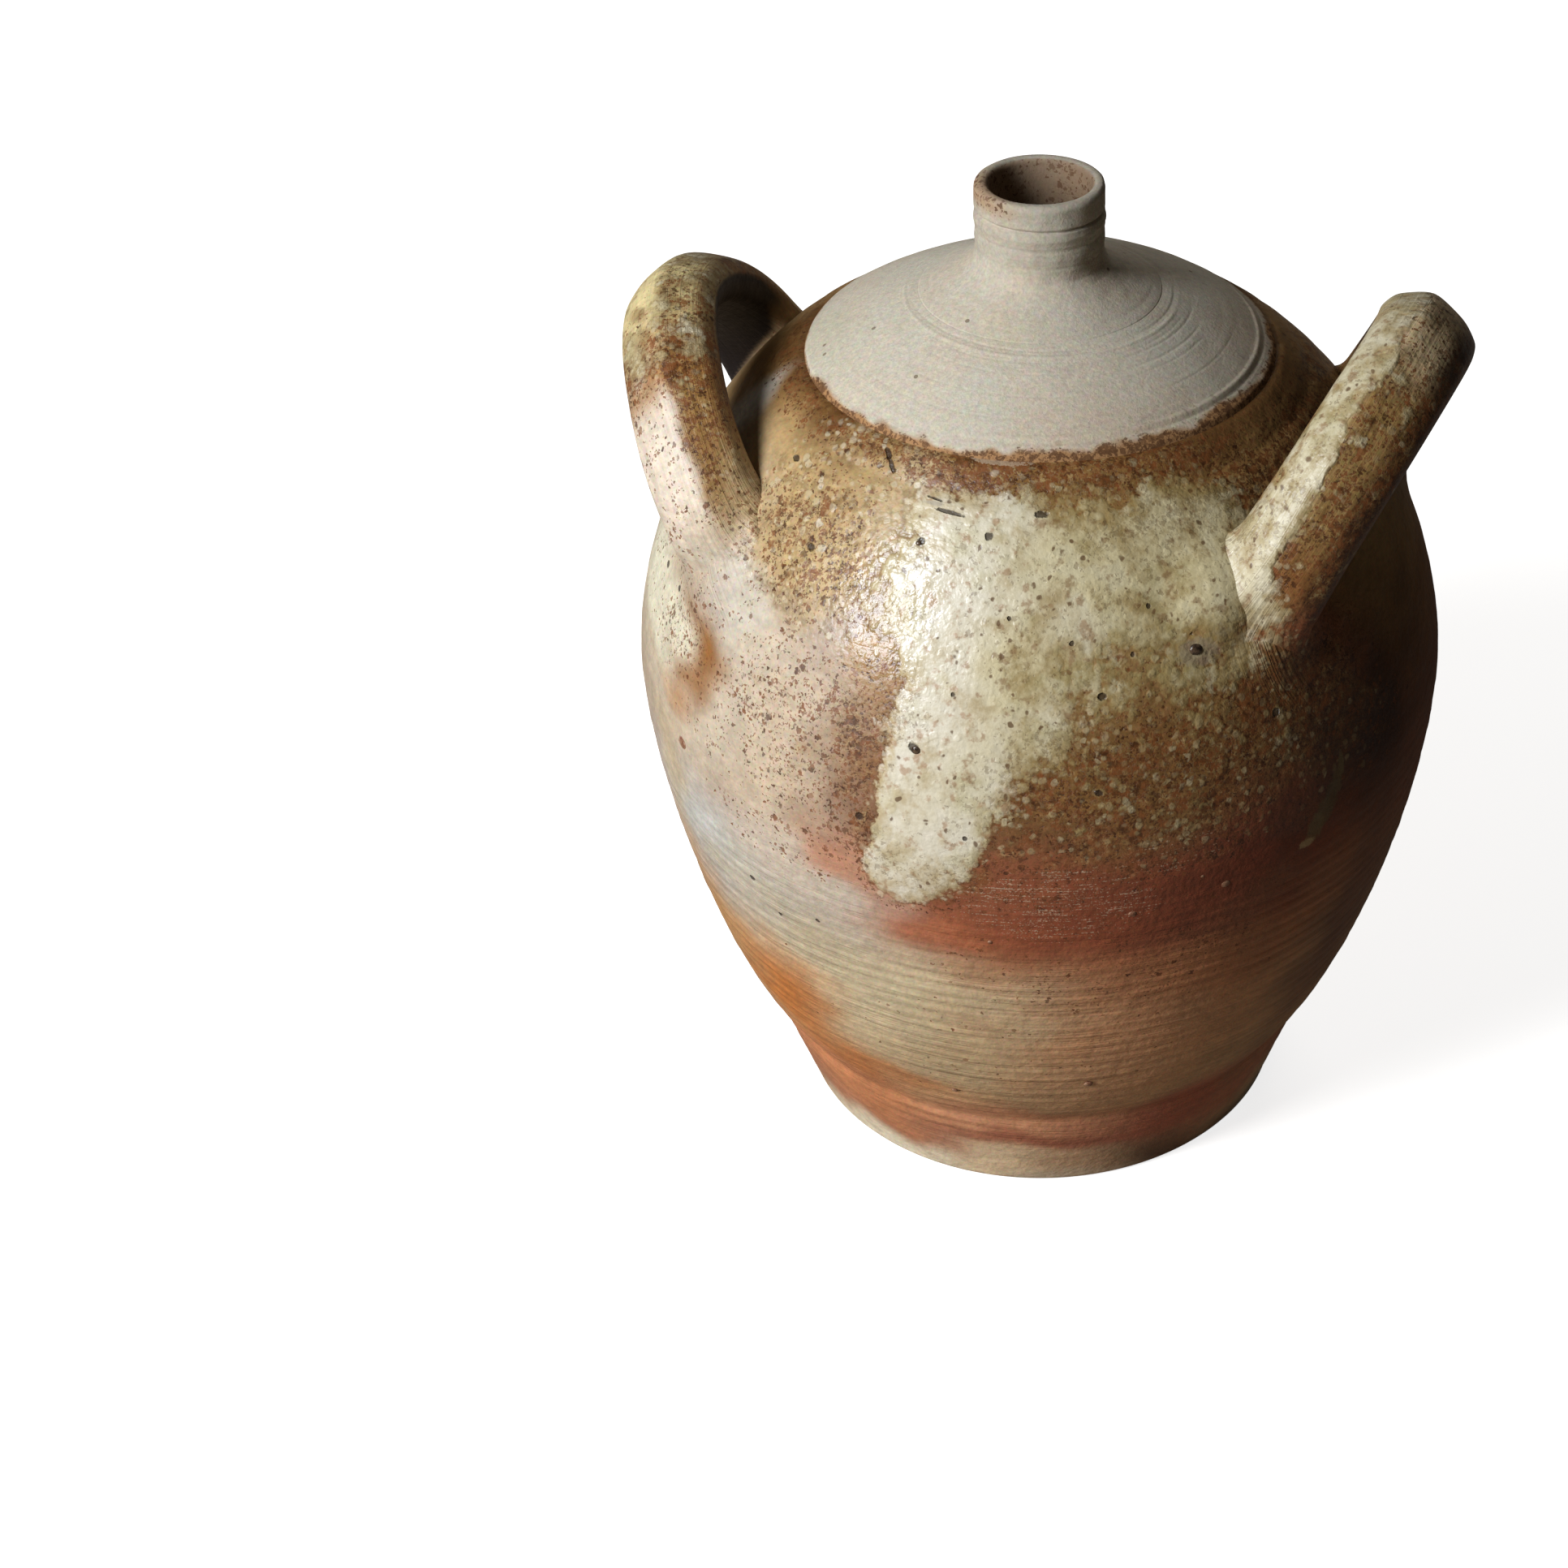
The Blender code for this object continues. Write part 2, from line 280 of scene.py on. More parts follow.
# Flashing, with a few patches of painted shade and painted light: azimuth, height, half width, half height, colour,
# strength
FLASHING_AND_SHADING = (
    # pale side, left of the view
    (-150, 190, 52, 62, (184, 170, 150), 1.0),
    (-128, 205, 30, 46, (190, 177, 158), 1.0),
    (-132, 138, 36, 30, (191, 192, 188), 1.0),
    (-112, 122, 20, 26, (186, 174, 148), 0.9),
    (-107, 198, 13, 38, (196, 179, 156), 0.95),
    (-110, 153, 13, 24, (198, 186, 170), 0.95),
    (-145, 150, 10, 34, (188, 168, 130), 0.6),
    (-139.5, 206, 9, 18, (142, 94, 42), 1.0),
    (-147, 188, 12, 6, (164, 118, 72), 0.7),
    (-158, 210, 15, 26, (222, 218, 196), 1.0),
    (-121, 254, 17, 20, (194, 169, 122), 0.9),
    (-106, 262, 9, 9, (198, 178, 142), 0.9),
    # pale grey wall under the left handle, whitened inside the handle's cast shadow: partly the wall's own colour,
    # partly painted light
    (-154, 254, 9, 20, (212, 206, 196), 1.0),
    (-134, 224, 8, 14, (196, 192, 180), 0.7),
    (-107, 233, 8, 17, (172, 154, 138), 0.7),
    # tan belly and the orange flash beside it
    (-98, 98, 30, 36, (206, 192, 160), 1.0),
    (-84, 78, 22, 28, (196, 172, 134), 0.8),
    (-60, 92, 26, 42, (206, 154, 114), 0.9),
    (-126, 80, 15, 30, (192, 118, 54), 0.95),
    (-142, 96, 14, 30, (188, 142, 92), 0.8),
    (-122, 38, 30, 17, (206, 138, 94), 0.9),
    (-98, 50, 20, 14, (206, 164, 122), 0.9),
    (-116, 54, 22, 9, (194, 122, 66), 0.8),
    (-76, 34, 28, 13, (212, 154, 116), 0.9),
    (-74, 25, 26, 6, (152, 86, 64), 0.75),
    (-46, 32, 22, 18, (180, 106, 82), 0.9),
    # red band under the ash
    (-56, 126, 28, 26, (184, 122, 82), 0.75),
    (-71, 153, 22, 28, (144, 78, 50), 0.95),
    (-90, 145, 9, 10, (176, 104, 68), 0.7),
    (-54, 158, 20, 24, (128, 66, 42), 0.9),
    (-99, 160, 5, 15, (190, 138, 110), 0.8),
    (-22, 112, 25, 70, (120, 82, 62), 0.95),
    # dark iron-brown flash on the right side, away from the window, darkened further: partly real colour, partly
    # painted shade
    (-27, 190, 22, 44, (58, 34, 22), 0.9),
    (-66, 194, 22, 18, (122, 88, 50), 0.9),
    # reddish pad below the right handle root, lightened inside the handle's cast shadow: partly the pad's colour,
    # partly painted light
    (-33, 227, 12, 20, (164, 94, 62), 0.9),
    # foot
    (-110, 7, 30, 13, (236, 229, 206), 1.0),
    (-90, 10, 18, 10, (222, 198, 162), 0.8),
    (-72, 7, 14, 9, (196, 158, 124), 0.7),
    (-46, 8, 20, 14, (104, 72, 50), 0.9),
    # right and back of the jug
    (25, 150, 34, 80, (104, 64, 46), 0.9),
    (70, 200, 34, 44, (150, 112, 70), 0.8),
    (64, 110, 28, 40, (176, 140, 98), 0.9),
    (60, 60, 26, 24, (178, 104, 60), 0.8),
    (112, 150, 26, 40, (150, 88, 60), 0.9),
    (120, 90, 34, 36, (190, 156, 114), 0.9),
    (155, 120, 26, 46, (186, 128, 82), 0.8),
    (160, 200, 30, 50, (204, 184, 160), 0.9),
    (150, 40, 34, 18, (184, 110, 80), 0.8),
)

# Bare of ash, and how white the ash on the handles melted
NO_ASH = -1.5
HANDLE_MILK = 0.40

# Melted ash: azimuth, height, half width, half height, crispness, greatest cover
ASH_POOLS = (
    (-84.5, 249, 22, 20, 1.6, 1.0),
    (-88, 258, 17, 11, 1.4, 0.6),
    (-62, 250, 28, 20, 1.4, 0.58),
    (-89.5, 239, 10, 30, 1.5, 1.0),
    (-88.5, 212, 9.5, 34, 1.8, 1.0),
    (-81, 220, 9, 24, 1.0, 0.42),
    (-92, 191, 8, 27, 2.0, 0.8),
    (-95.5, 170, 6.5, 16, 1.8, 0.40),
    (-84, 229, 10, 19, 1.0, 0.30),
    (-52, 232, 12, 14, 0.9, 0.18),
    (-46, 243, 11, 13, 1.3, 0.9),
    (-68, 221, 20, 14, 0.8, 0.06),
    (-66, 206, 24, 24, 0.9, -0.05),
    (-58, 186, 22, 12, 0.7, -0.16),
    (-119, 252, 17, 20, 0.8, -0.13),
    (75, 246, 40, 22, 1.2, 1.0),
    (92, 214, 9, 34, 1.8, 1.0),
    (94, 190, 6, 24, 2.2, 1.0),
    (56, 218, 12, 26, 1.2, 0.3),
    (74, 212, 26, 26, 0.7, -0.08),
    (122, 232, 16, 18, 0.8, 0.1),
)

# Iron specks: azimuth, height, half width, half height, density
IRON = (
    (-114, 200, 16, 60, 0.56),
    (-102.5, 196, 8, 44, 0.80),
    (-120, 250, 22, 24, 0.72),
    (-150, 225, 30, 40, 0.16),
    (-128, 205, 14, 50, 0.20),
    (-140, 204, 8, 18, 0.5),
    (-64, 196, 32, 38, 0.85),
    (-40, 205, 26, 34, 0.8),
    (-70, 246, 44, 30, 0.22),
    (-80, 164, 20, 14, 0.45),
    (-98, 168, 7, 14, 0.6),
    (-84, 273, 74, 8, 1.0),
    (-10, 262, 80, 16, 0.9),
    (-160, 272, 60, 7, 0.7),
    (-66, 130, 30, 40, 0.14),
    (-90, 80, 50, 50, 0.045),
    (40, 220, 40, 40, 0.7),
    (90, 240, 60, 30, 0.4),
    (100, 200, 26, 40, 0.8),
    (150, 230, 40, 40, 0.4),
    (100, 270, 90, 8, 0.9),
    (60, 150, 50, 30, 0.25),
)

# Pale dashes scraped in the clay: azimuth, height, half width, half height, strength
CHALK = (
    (-76, 156, 26, 28, 0.56),
    (-60, 172, 16, 14, 0.50),
    (-70, 3, 26, 4, 0.78),
    (-86, 274.6, 14, 1.2, 0.9),
    (60, 150, 30, 20, 0.45),
    (140, 120, 30, 20, 0.40),
)

# Glossier patches: azimuth, height, half width, half height, strength
SHINE = (
    (-102, 240, 12, 28, 0.55),
    (-126, 238, 9, 12, 0.30),
    (-76, 150, 34, 30, 0.15),
    (-140, 196, 24, 46, -0.15),
    (-8, 190, 46, 90, -0.35),
)

# Clay smeared down under each handle root: azimuth, height, half width, half height, lift in metres
ROOT_PADS = (
    (-137.5, 230, 10, 24, 0.0036),
    (155, 230, 10, 24, 0.0036),
    (-40, 231, 10, 20, 0.0036),
    (24, 231, 10, 22, 0.0036),
)

# Clay pushed up beside a root, its surface left smooth
ROOT_SWELLS = (
    (-47, 241, 12, 18, 0.0042),
)


def mixed(first, second, share):
    """One colour shaded into another, point by point."""
    first, second = (np.asarray(colour)[..., :3] for colour in (first, second))
    return first + share[:, None] * (second - first)


def layered(colour, layers):
    """Further colours laid over the first, each with its share at every point."""
    for shade, share in layers:
        colour = mixed(colour, srgb(*shade), share)
    return colour


def fired_and_shaded_colour(points, azimuth, height):
    """Colour of the wall before specks and ash, with a few patches of painted shade and painted light."""
    azimuth = azimuth + 6.0 * waves(points, 0.08, 3) + 2.5 * waves(points, 0.022, 8)
    height = height + 6.0 * waves(points, 0.07, 4) + 2.0 * waves(points, 0.020, 9)
    levels = [level for level, _ in GROUND]
    shades = np.array([srgb(*colour)[:3] for _, colour in GROUND])
    colour = np.stack([np.interp(height, levels, shades[:, channel]) for channel in range(3)], axis=1)
    for weight, (shade, strength) in patches(FLASHING_AND_SHADING, azimuth, height, 1.15, growth=1.35):
        colour = mixed(colour, srgb(*shade), strength * weight)
    return colour


def ash_cover(points, azimuth, height):
    azimuth = azimuth + 1.4 * waves(points, 0.03, 5)
    height = height + 2.5 * waves(points, 0.03, 6)
    cover = np.full(len(azimuth), NO_ASH)
    for centre, level, width, tall, crispness, most in ASH_POOLS:
        pool = crispness * lobe(azimuth, height, (centre, level), (width, tall), 2.6)
        cover = np.maximum(cover, np.minimum(pool, most))
    return np.clip(cover, NO_ASH, 1.0)


def ash_milk(points, azimuth):
    """How white the ash melted, from olive to milky."""
    milk = soft((-70.0 - azimuth) / 26.0 + 0.3 * waves(points, 0.03, 10))
    return np.where(azimuth < 20.0, milk, 0.4)


def iron_density(points, azimuth, height):
    ash = ash_cover(points, azimuth, height)
    azimuth = azimuth + 4.0 * waves(points, 0.04, 7)
    density = np.zeros(len(azimuth))
    for weight, (strength,) in patches(IRON, azimuth, height, 1.3):
        density = density + strength * weight * (1.0 - density)
    border = 0.55 * soft(1.0 - np.abs(ash + 0.3) / 0.45) * soft((azimuth + 104.0) / 6.0)
    return np.clip(density + border * (1.0 - density), 0.0, 1.0)


def chalk_strength(azimuth, height):
    chalk = np.zeros(len(azimuth))
    for weight, (strength,) in patches(CHALK, azimuth, height, 1.6):
        chalk = np.maximum(chalk, strength * weight)
    return chalk


def glossiness(azimuth, height, iron, ash):
    upper = soft((height - 150.0) / 70.0)
    shine = 0.12 + 0.24 * upper + 0.25 * iron + 0.35 * soft(ash + 0.6)
    for weight, (strength,) in patches(SHINE, azimuth, height, 1.3):
        shine = shine + strength * weight
    return np.clip(shine, 0.0, 1.0)


def pulled_down(azimuth, height):
    """Where fingers dragged the clay down below a handle."""
    pulled = np.zeros(len(azimuth))
    for weight, _ in patches(ROOT_PADS, azimuth, height + 6, 1.4, growth=1.1, power=2.2):
        pulled = np.maximum(pulled, weight)
    return pulled


def ring_strength(height):
    return soft((height - 4.0) / 30.0) * (1.0 - 0.85 * soft((height - 120.0) / 60.0))


# Turned pieces

def mesh_from(shape, name):
    mesh = bpy.data.meshes.new(name)
    shape.to_mesh(mesh)
    shape.free()
    return mesh


def into_scene(name, data):
    thing = bpy.data.objects.new(name, data)
    bpy.context.scene.collection.objects.link(thing)
    return thing


def coordinates(mesh):
    values = np.empty(len(mesh.vertices) * 3)
    mesh.vertices.foreach_get("co", values)
    return values.reshape(-1, 3)


def place(mesh, points):
    mesh.vertices.foreach_set("co", points.ravel())
    mesh.update()


def store(mesh, **layers):
    """Keep values with the mesh, one for each point, for the materials to read."""
    for name, values in layers.items():
        mesh.attributes.new(name, "FLOAT", "POINT").data.foreach_set("value", np.asarray(values, dtype=np.float32))


def store_colour(mesh, name, colours):
    layer = mesh.color_attributes.new(name, "FLOAT_COLOR", "POINT")
    full = np.concatenate([colours, np.ones((len(colours), 1))], axis=1)
    layer.data.foreach_set("color", full.astype(np.float32).ravel())


def polar(points):
    """Azimuth in degrees, radius and height in metres, and height in mm."""
    azimuth = np.degrees(np.arctan2(points[:, 1], points[:, 0]))
    return azimuth, np.hypot(points[:, 0], points[:, 1]), points[:, 2], points[:, 2] / MM


def new_piece(name, mesh, material):
    piece = into_scene(name, mesh)
    mesh.materials.append(material)
    mesh.shade_smooth()
    return piece


def spun(name, profile, columns, closed):
    """Turn a profile of (radius, height) points about the vertical axis."""
    shape = bmesh.new()
    points = [shape.verts.new((radius, 0.0, height)) for radius, height in profile]
    pairs = list(zip(points, points[1:])) + ([(points[-1], points[0])] if closed else [])
    edges = [shape.edges.new(pair) for pair in pairs]
    bmesh.ops.spin(shape, geom=points + edges, cent=(0, 0, 0), axis=(0, 0, 1), dvec=(0, 0, 0),
                   angle=math.tau, steps=columns, use_merge=True, use_duplicate=False)
    bmesh.ops.remove_doubles(shape, verts=shape.verts, dist=MERGE_DISTANCE)
    bmesh.ops.recalc_face_normals(shape, faces=shape.faces)
    return mesh_from(shape, name)


def inner_wall():
    rim_height = groove_bottom()[1]
    wall = moved_square(wall_outline(), -WALL)
    wall = [p for p in wall if FLOOR + FLOOR_COVE < p[1] < rim_height - SEAM]
    rim = (wall[-1][0] - math.tan(SHOULDER_SLOPE) * (rim_height - wall[-1][1]), rim_height)
    return [(0.0, FLOOR), (FOOT_RADIUS - WALL - FLOOR_COVE, FLOOR)] + wall[::9] + [rim]


def body_relief(points, azimuth, height, ash, rings):
    """Height of the surface over the turned outline, in metres."""
    relief = 0.00030 * waves(points, 0.16, 21)
    sweep = height + 1.0 * waves(points, 0.12, 22)
    relief += 0.00011 * rings * np.sin(math.tau * sweep / 4.9) * (1 + 0.5 * waves(points, 0.05, 23))
    relief += 0.00028 * soft(ash * 0.8) + 0.00008 * waves(points, 0.011, 24)
    relief -= 0.0004 * soft(1.0 - np.abs(height - 267.5) / 2.5)
    pads = np.zeros(len(azimuth))
    for weight, (lift,) in patches(ROOT_PADS + ROOT_SWELLS, azimuth, height, 1.2, power=2.2):
        pads = np.maximum(pads, lift * weight)
    relief += pads
    fade = soft(height / 6.0) * soft((273.0 - height) / 4.0)
    return relief * fade


def body_skin(glaze):
    outer = evenly(wall_outline() + [groove_bottom()], BODY_ROWS)
    mesh = spun("glazed_body", inner_wall() + outer[::-1] + [(0.0, 0.0)], BODY_COLUMNS, closed=False)
    points = coordinates(mesh)
    azimuth, radius, z, height = polar(points)
    outside = radius > wall_radius(z) - WALL / 2
    ash = ash_cover(points, azimuth, height)
    iron = iron_density(points, azimuth, height)
    rings = ring_strength(height)
    colour = fired_and_shaded_colour(points, azimuth, height)
    relief = np.where(outside, body_relief(points, azimuth, height, ash, rings), 0.0)
    place(mesh, points + wall_normal(azimuth, z) * relief[:, None])
    store(mesh, ash=np.where(outside, ash, NO_ASH), milk=ash_milk(points, azimuth), iron=np.where(outside, iron, 0.2),
          rings=rings, chalk=np.where(outside, chalk_strength(azimuth, height), 0.0),
          pulled=pulled_down(azimuth, height), gloss=glossiness(azimuth, height, iron, ash),
          lengthwise=np.radians(azimuth) * radius + 0.002 * waves(points, 0.05, 25))
    store_colour(mesh, "fired_and_shading", np.where(outside[:, None], colour, np.array(INSIDE_COLOUR[:3])))
    piece = new_piece("glazed_body", mesh, glaze)
    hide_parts("thrown_body")
    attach(piece, "root")


# Arcs scored round the dome: radius, azimuth of the middle, half length in degrees, half width and depth in mm
DOME_ARCS = (
    (0.0418, -95, 95, 0.9, -0.13),
    (0.0400, -70, 90, 0.7, 0.12),
    (0.0442, -60, 60, 0.6, 0.07),
    (0.0462, -25, 34, 0.5, 0.10),
    (0.0478, -85, 40, 0.5, 0.05),
    (0.0497, -30, 30, 0.6, 0.11),
    (0.0522, -40, 36, 0.5, 0.09),
    (0.0548, -95, 34, 0.5, 0.06),
    (0.0566, -52, 30, 0.5, 0.07),
    (0.0590, -18, 26, 0.5, 0.08),
    (0.0615, -110, 30, 0.5, 0.05),
    (0.0452, 110, 70, 0.6, 0.09),
    (0.0540, 80, 40, 0.5, 0.08),
    (0.0600, 150, 40, 0.5, 0.07),
)


def dome_skin(clay):
    bottom = groove_bottom()[1] - SEAM
    outline = dome_outline()
    outer = evenly([(groove_bottom()[0], bottom)] + outline, DOME_ROWS)
    rim_radius = inner_wall()[-1][0]
    ceiling = [(r, h) for r, h in moved_square(outline, -DOME_WALL)
               if h > bottom and DOME_MOUTH_RADIUS < r < rim_radius]
    inner = [(rim_radius, bottom)] + ceiling[::10]
    inner += [(DOME_MOUTH_RADIUS, FLANGE[1] - DOME_WALL), (DOME_MOUTH_RADIUS, FLANGE[1])]
    mesh = spun("bare_dome", outer[::-1] + inner, DOME_COLUMNS, closed=True)
    points = coordinates(mesh)
    azimuth, radius, z, height = polar(points)
    outside = (radius > wall_radius(z) - DOME_WALL / 2) & (radius > FLANGE[0] - 0.001)
    faint = soft(0.4 + 0.8 * waves(points, 0.07, 31))
    turning = 0.00002 * np.sin(radius * math.tau / 0.0047 + waves(points, 0.08, 34)) * faint
    turning += 0.00006 * np.sin(radius * math.tau / 0.0019) * soft((0.0445 - radius) / 0.003) * faint
    ridge, furrow = (soft(1 - np.abs(radius - middle) / half) for middle, half in (DOME_RIDGE, DOME_RIDGE_FURROW))
    right = soft(0.05 + 1.1 * np.cos(np.radians(azimuth + 12)))
    relief = 0.00022 * waves(points, 0.10, 32) + turning + 0.00030 * (ridge - furrow) * right
    for arc_radius, middle, half_length, half_width, depth in DOME_ARCS:
        drift = arc_radius + 0.0006 * np.sin(np.radians(turn_gap(azimuth, middle)) * 1.3)
        along_it = soft((half_length - np.abs(turn_gap(azimuth, middle))) / 12.0)
        relief -= depth * 0.0013 * along_it * soft(1 - np.abs(radius - drift) / (half_width * MM))
    relief += 0.00008 * waves(points, 0.018, 35)
    relief *= soft((height - DOME_EDGE) / 1.5) * soft((radius - FLANGE[0]) / 0.003)
    place(mesh, points + wall_normal(azimuth, z) * np.where(outside, relief, 0.0)[:, None])
    edge = DOME_EDGE + 0.9 * soft(0.1 + 0.9 * np.cos(np.radians(azimuth + 8)))
    edge += 0.5 * np.cos(np.radians(azimuth + 60)) + 0.7 * waves(points, 0.02, 33) + 0.4 * waves(points, 0.006, 36)
    # browner and darker toward the right of the view, the side away from the window: painted shade
    painted_side_shade = 0.17 * soft(0.2 + 0.9 * np.cos(np.radians(azimuth + 15))) * soft((radius - 0.045) / 0.03)
    store(mesh, iron=np.where(outside, np.maximum(soft((edge - height) / 1.6 + 0.4), painted_side_shade), 0.0))
    piece = new_piece("bare_dome", mesh, clay)
    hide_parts("shoulder_dome")
    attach(piece, "root")


def neck_profile():
    flare = evenly(sweep_curve(FLANGE, FLANGE_SLOPE, NECK_START, 0.0, FLARE_FULLNESS), 44)
    seat = FLANGE[1] - SEAM
    lip_start = LIP_HEIGHT - LIP_ROUNDING
    flare = [(FLANGE[0], seat)] + flare
    straight = evenly([NECK_START, (NECK_START[0], lip_start)], 56)
    outer_edge = round_corner((NECK_START[0] - LIP_ROUNDING, lip_start), LIP_ROUNDING, 0.0, math.pi / 2)
    inner_edge = round_corner((BORE_RADIUS + LIP_ROUNDING, lip_start), LIP_ROUNDING, math.pi / 2, math.pi)
    bore = evenly([(BORE_RADIUS, lip_start), (BORE_RADIUS, seat)], 20)
    return flare + straight[1:] + outer_edge[1:] + inner_edge + bore[1:]


# Tooling on the neck: height in mm, half width in mm, depth in mm
NECK_TOOLING = (
    (320.6, 0.8, 0.95),
    (317.8, 1.8, -0.30),
    (314.4, 1.2, 0.28),
    (311.6, 1.4, -0.12),
    (308.8, 1.0, 0.16),
    (305.6, 1.4, -0.18),
    (302.6, 0.8, 0.12),
    (299.4, 0.8, 0.10),
    (295.6, 0.5, 0.14),
)


def neck_skin(clay):
    mesh = spun("bare_neck", neck_profile(), NECK_COLUMNS, closed=True)
    points = coordinates(mesh)
    azimuth, radius, _, height = polar(points)
    outside = radius > NECK_START[0] - 0.0006
    tooled = np.zeros(len(points))
    for level, width, depth in NECK_TOOLING:
        tooled -= depth * MM * soft(1 - np.abs(height + 0.3 * np.sin(np.radians(azimuth)) - level) / width)
    tooled += 0.0003 * waves(points, 0.05, 41) + 0.00008 * waves(points, 0.006, 42)
    tooled *= soft((height - 294.6) / 1.0)
    turn = np.radians(azimuth)
    push = np.where(outside, tooled, 0.00015 * waves(points, 0.02, 43))
    normal = np.stack([np.cos(turn), np.sin(turn), np.zeros(len(turn))], axis=1)
    place(mesh, points + normal * push[:, None])
    stain = soft((height - 322.0) / 5.0) * soft(lobe(azimuth, height, (-150, 326), (70, 9)) * 1.5)
    inside = radius < BORE_RADIUS + 0.0008
    # inside the bore the brown iron stain is partly painted shade
    store(mesh, iron=np.where(inside, 0.34, 0.6 * stain))
    piece = new_piece("bare_neck", mesh, clay)
    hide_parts("neck_collar")
    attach(piece, "root")


# Beads of melted iron and nubs of clay: azimuth, height, radius in mm, height over the wall in mm
IRON_BEADS = (
    (-54.3, 230.4, 2.1, 1.3),
    (-94.6, 205.3, 1.7, 0.9),
    (-70.4, 195.4, 0.8, 0.5),
    (-99.5, 256.4, 0.9, 0.5),
    (88.0, 228.0, 1.8, 1.1),
    (131.0, 246.0, 1.4, 0.9),
)
CLAY_NUBS = (
    (-65.5, 151.0, 1.4, 0.8),
    (-52.4, 155.2, 1.7, 0.7),
    (-56.0, 161.0, 0.9, 0.6),
    (-84.5, 140.5, 0.8, 0.5),
    (-136.0, 172.0, 1.9, 0.5),
    (-69.6, 66.0, 1.5, 0.6),
    (-93.0, 58.0, 1.0, 0.4),
    (12.0, 128.0, 1.4, 0.7),
    (96.0, 96.0, 1.2, 0.6),
    (158.0, 84.0, 1.3, 0.6),
)


def beads(name, spots, material):
    """Small domes of melted material, half sunk in the wall."""
    shape = bmesh.new()
    for azimuth, height, radius, lift in spots:
        centre = on_wall(azimuth, height)
        facing = Vector(wall_normal(azimuth, height * MM))
        size = Matrix.Diagonal((radius * MM, radius * MM * 0.85, lift * MM, 1.0))
        put = Matrix.Translation(centre) @ facing.to_track_quat("Z", "Y").to_matrix().to_4x4() @ size
        bmesh.ops.create_icosphere(shape, subdivisions=3, radius=1.0, matrix=put)
    piece = new_piece(name, mesh_from(shape, name), material)
    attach(piece, "root")


# Handles

def rounded(corners, cuts=(0.17, 0.25, 0.25)):
    """Round a closed outline by cutting its corners again and again."""
    line = [np.array(corner) for corner in corners]
    for cut in cuts:
        smoother = []
        for before, after in zip(line, line[1:] + line[:1]):
            smoother += [before + (after - before) * cut, after + (before - after) * cut]
        line = smoother
    return line


def strap_section(ridge_place):
    """Facetted strap with a ridge along its outer face, 2 wide and 2 thick, as (across, outward) points."""
    corners = ((1.03, -0.10), (0.92, 0.55), (0.50, 1.04), (ridge_place, 1.38), (-0.90, 0.62), (-1.04, -0.10),
               (-0.80, -0.93), (0.0, -1.08), (0.80, -0.93))
    line = rounded(corners)
    points = evenly([tuple(p) for p in line] + [tuple(line[0])], STRAP_COLUMNS)
    return points[:-1]


def arch_path(half_chord, reach):
    power = 2 / ARCH_SQUARENESS
    path = [(half_chord, -ROOT_TAIL), (half_chord, -ROOT_TAIL / 3)]
    for index in range(121):
        angle = math.pi * index / 120
        side = math.copysign(abs(math.cos(angle)) ** power, math.cos(angle)) * half_chord
        path.append((side, max(math.sin(angle), 0.0) ** power * reach))
    path += [(-half_chord, -ROOT_TAIL / 3), (-half_chord, -ROOT_TAIL)]
    return evenly(path, STRAP_ROWS)


def clear_of_wall(points):
    """Distance square out from the wall."""
    _, radius, z, _ = polar(points)
    return (radius - wall_radius(z)) * np.cos(wall_lean(z))


def strap_loft(name, half_chord, reach, ridge_place):
    """Pull a ring of points along the arch, one extrusion at a time."""
    path = arch_path(half_chord, reach)
    shape = bmesh.new()
    section = strap_section(ridge_place)
    ring = [shape.verts.new((across, out, 0.0)) for across, out in section]
    edges = [shape.edges.new((ring[i], ring[(i + 1) % len(ring)])) for i in range(len(ring))]
    first = list(edges)
    rings = [ring]
    for _ in path[1:]:
        pulled = bmesh.ops.extrude_edge_only(shape, edges=edges)["geom"]
        edges = [item for item in pulled if isinstance(item, bmesh.types.BMEdge) and item.is_boundary]
        follow = {}
        for vert in rings[-1]:
            for edge in vert.link_edges:
                other = edge.other_vert(vert)
                if other not in follow and other in pulled and other not in rings[-1]:
                    follow[vert] = other
        ring = [follow[vert] for vert in rings[-1]]
        rings.append(ring)
    bmesh.ops.contextual_create(shape, geom=first)
    bmesh.ops.contextual_create(shape, geom=edges)
    travel = {}
    for index, (ring, (side, up)) in enumerate(zip(rings, path)):
        before = path[max(index - 1, 0)]
        after = path[min(index + 1, len(path) - 1)]
        run = math.dist(before, after)
        out_side, out_up = (after[1] - before[1]) / run, (before[0] - after[0]) / run
        flare = 1 + ROOT_FLARE * math.exp(-max(up, 0.0) / ROOT_FLARE_LENGTH)
        for vert, (across, out) in zip(ring, section):
            reach_out = out * HANDLE_THICKNESS / 2 * flare
            vert.co = (across * HANDLE_WIDTH / 2 * flare, side + out_side * reach_out, up + out_up * reach_out)
            travel[vert] = (index / (len(path) - 1), across, out)
    shape.verts.index_update()
    shape.normal_update()
    bmesh.ops.recalc_face_normals(shape, faces=shape.faces)
    place_on_strap = np.array([travel[vert] for vert in shape.verts])
    centres = np.array([(0.0, *path[int(round(share * (len(path) - 1)))]) for share in place_on_strap[:, 0]])
    return mesh_from(shape, name), place_on_strap, centres


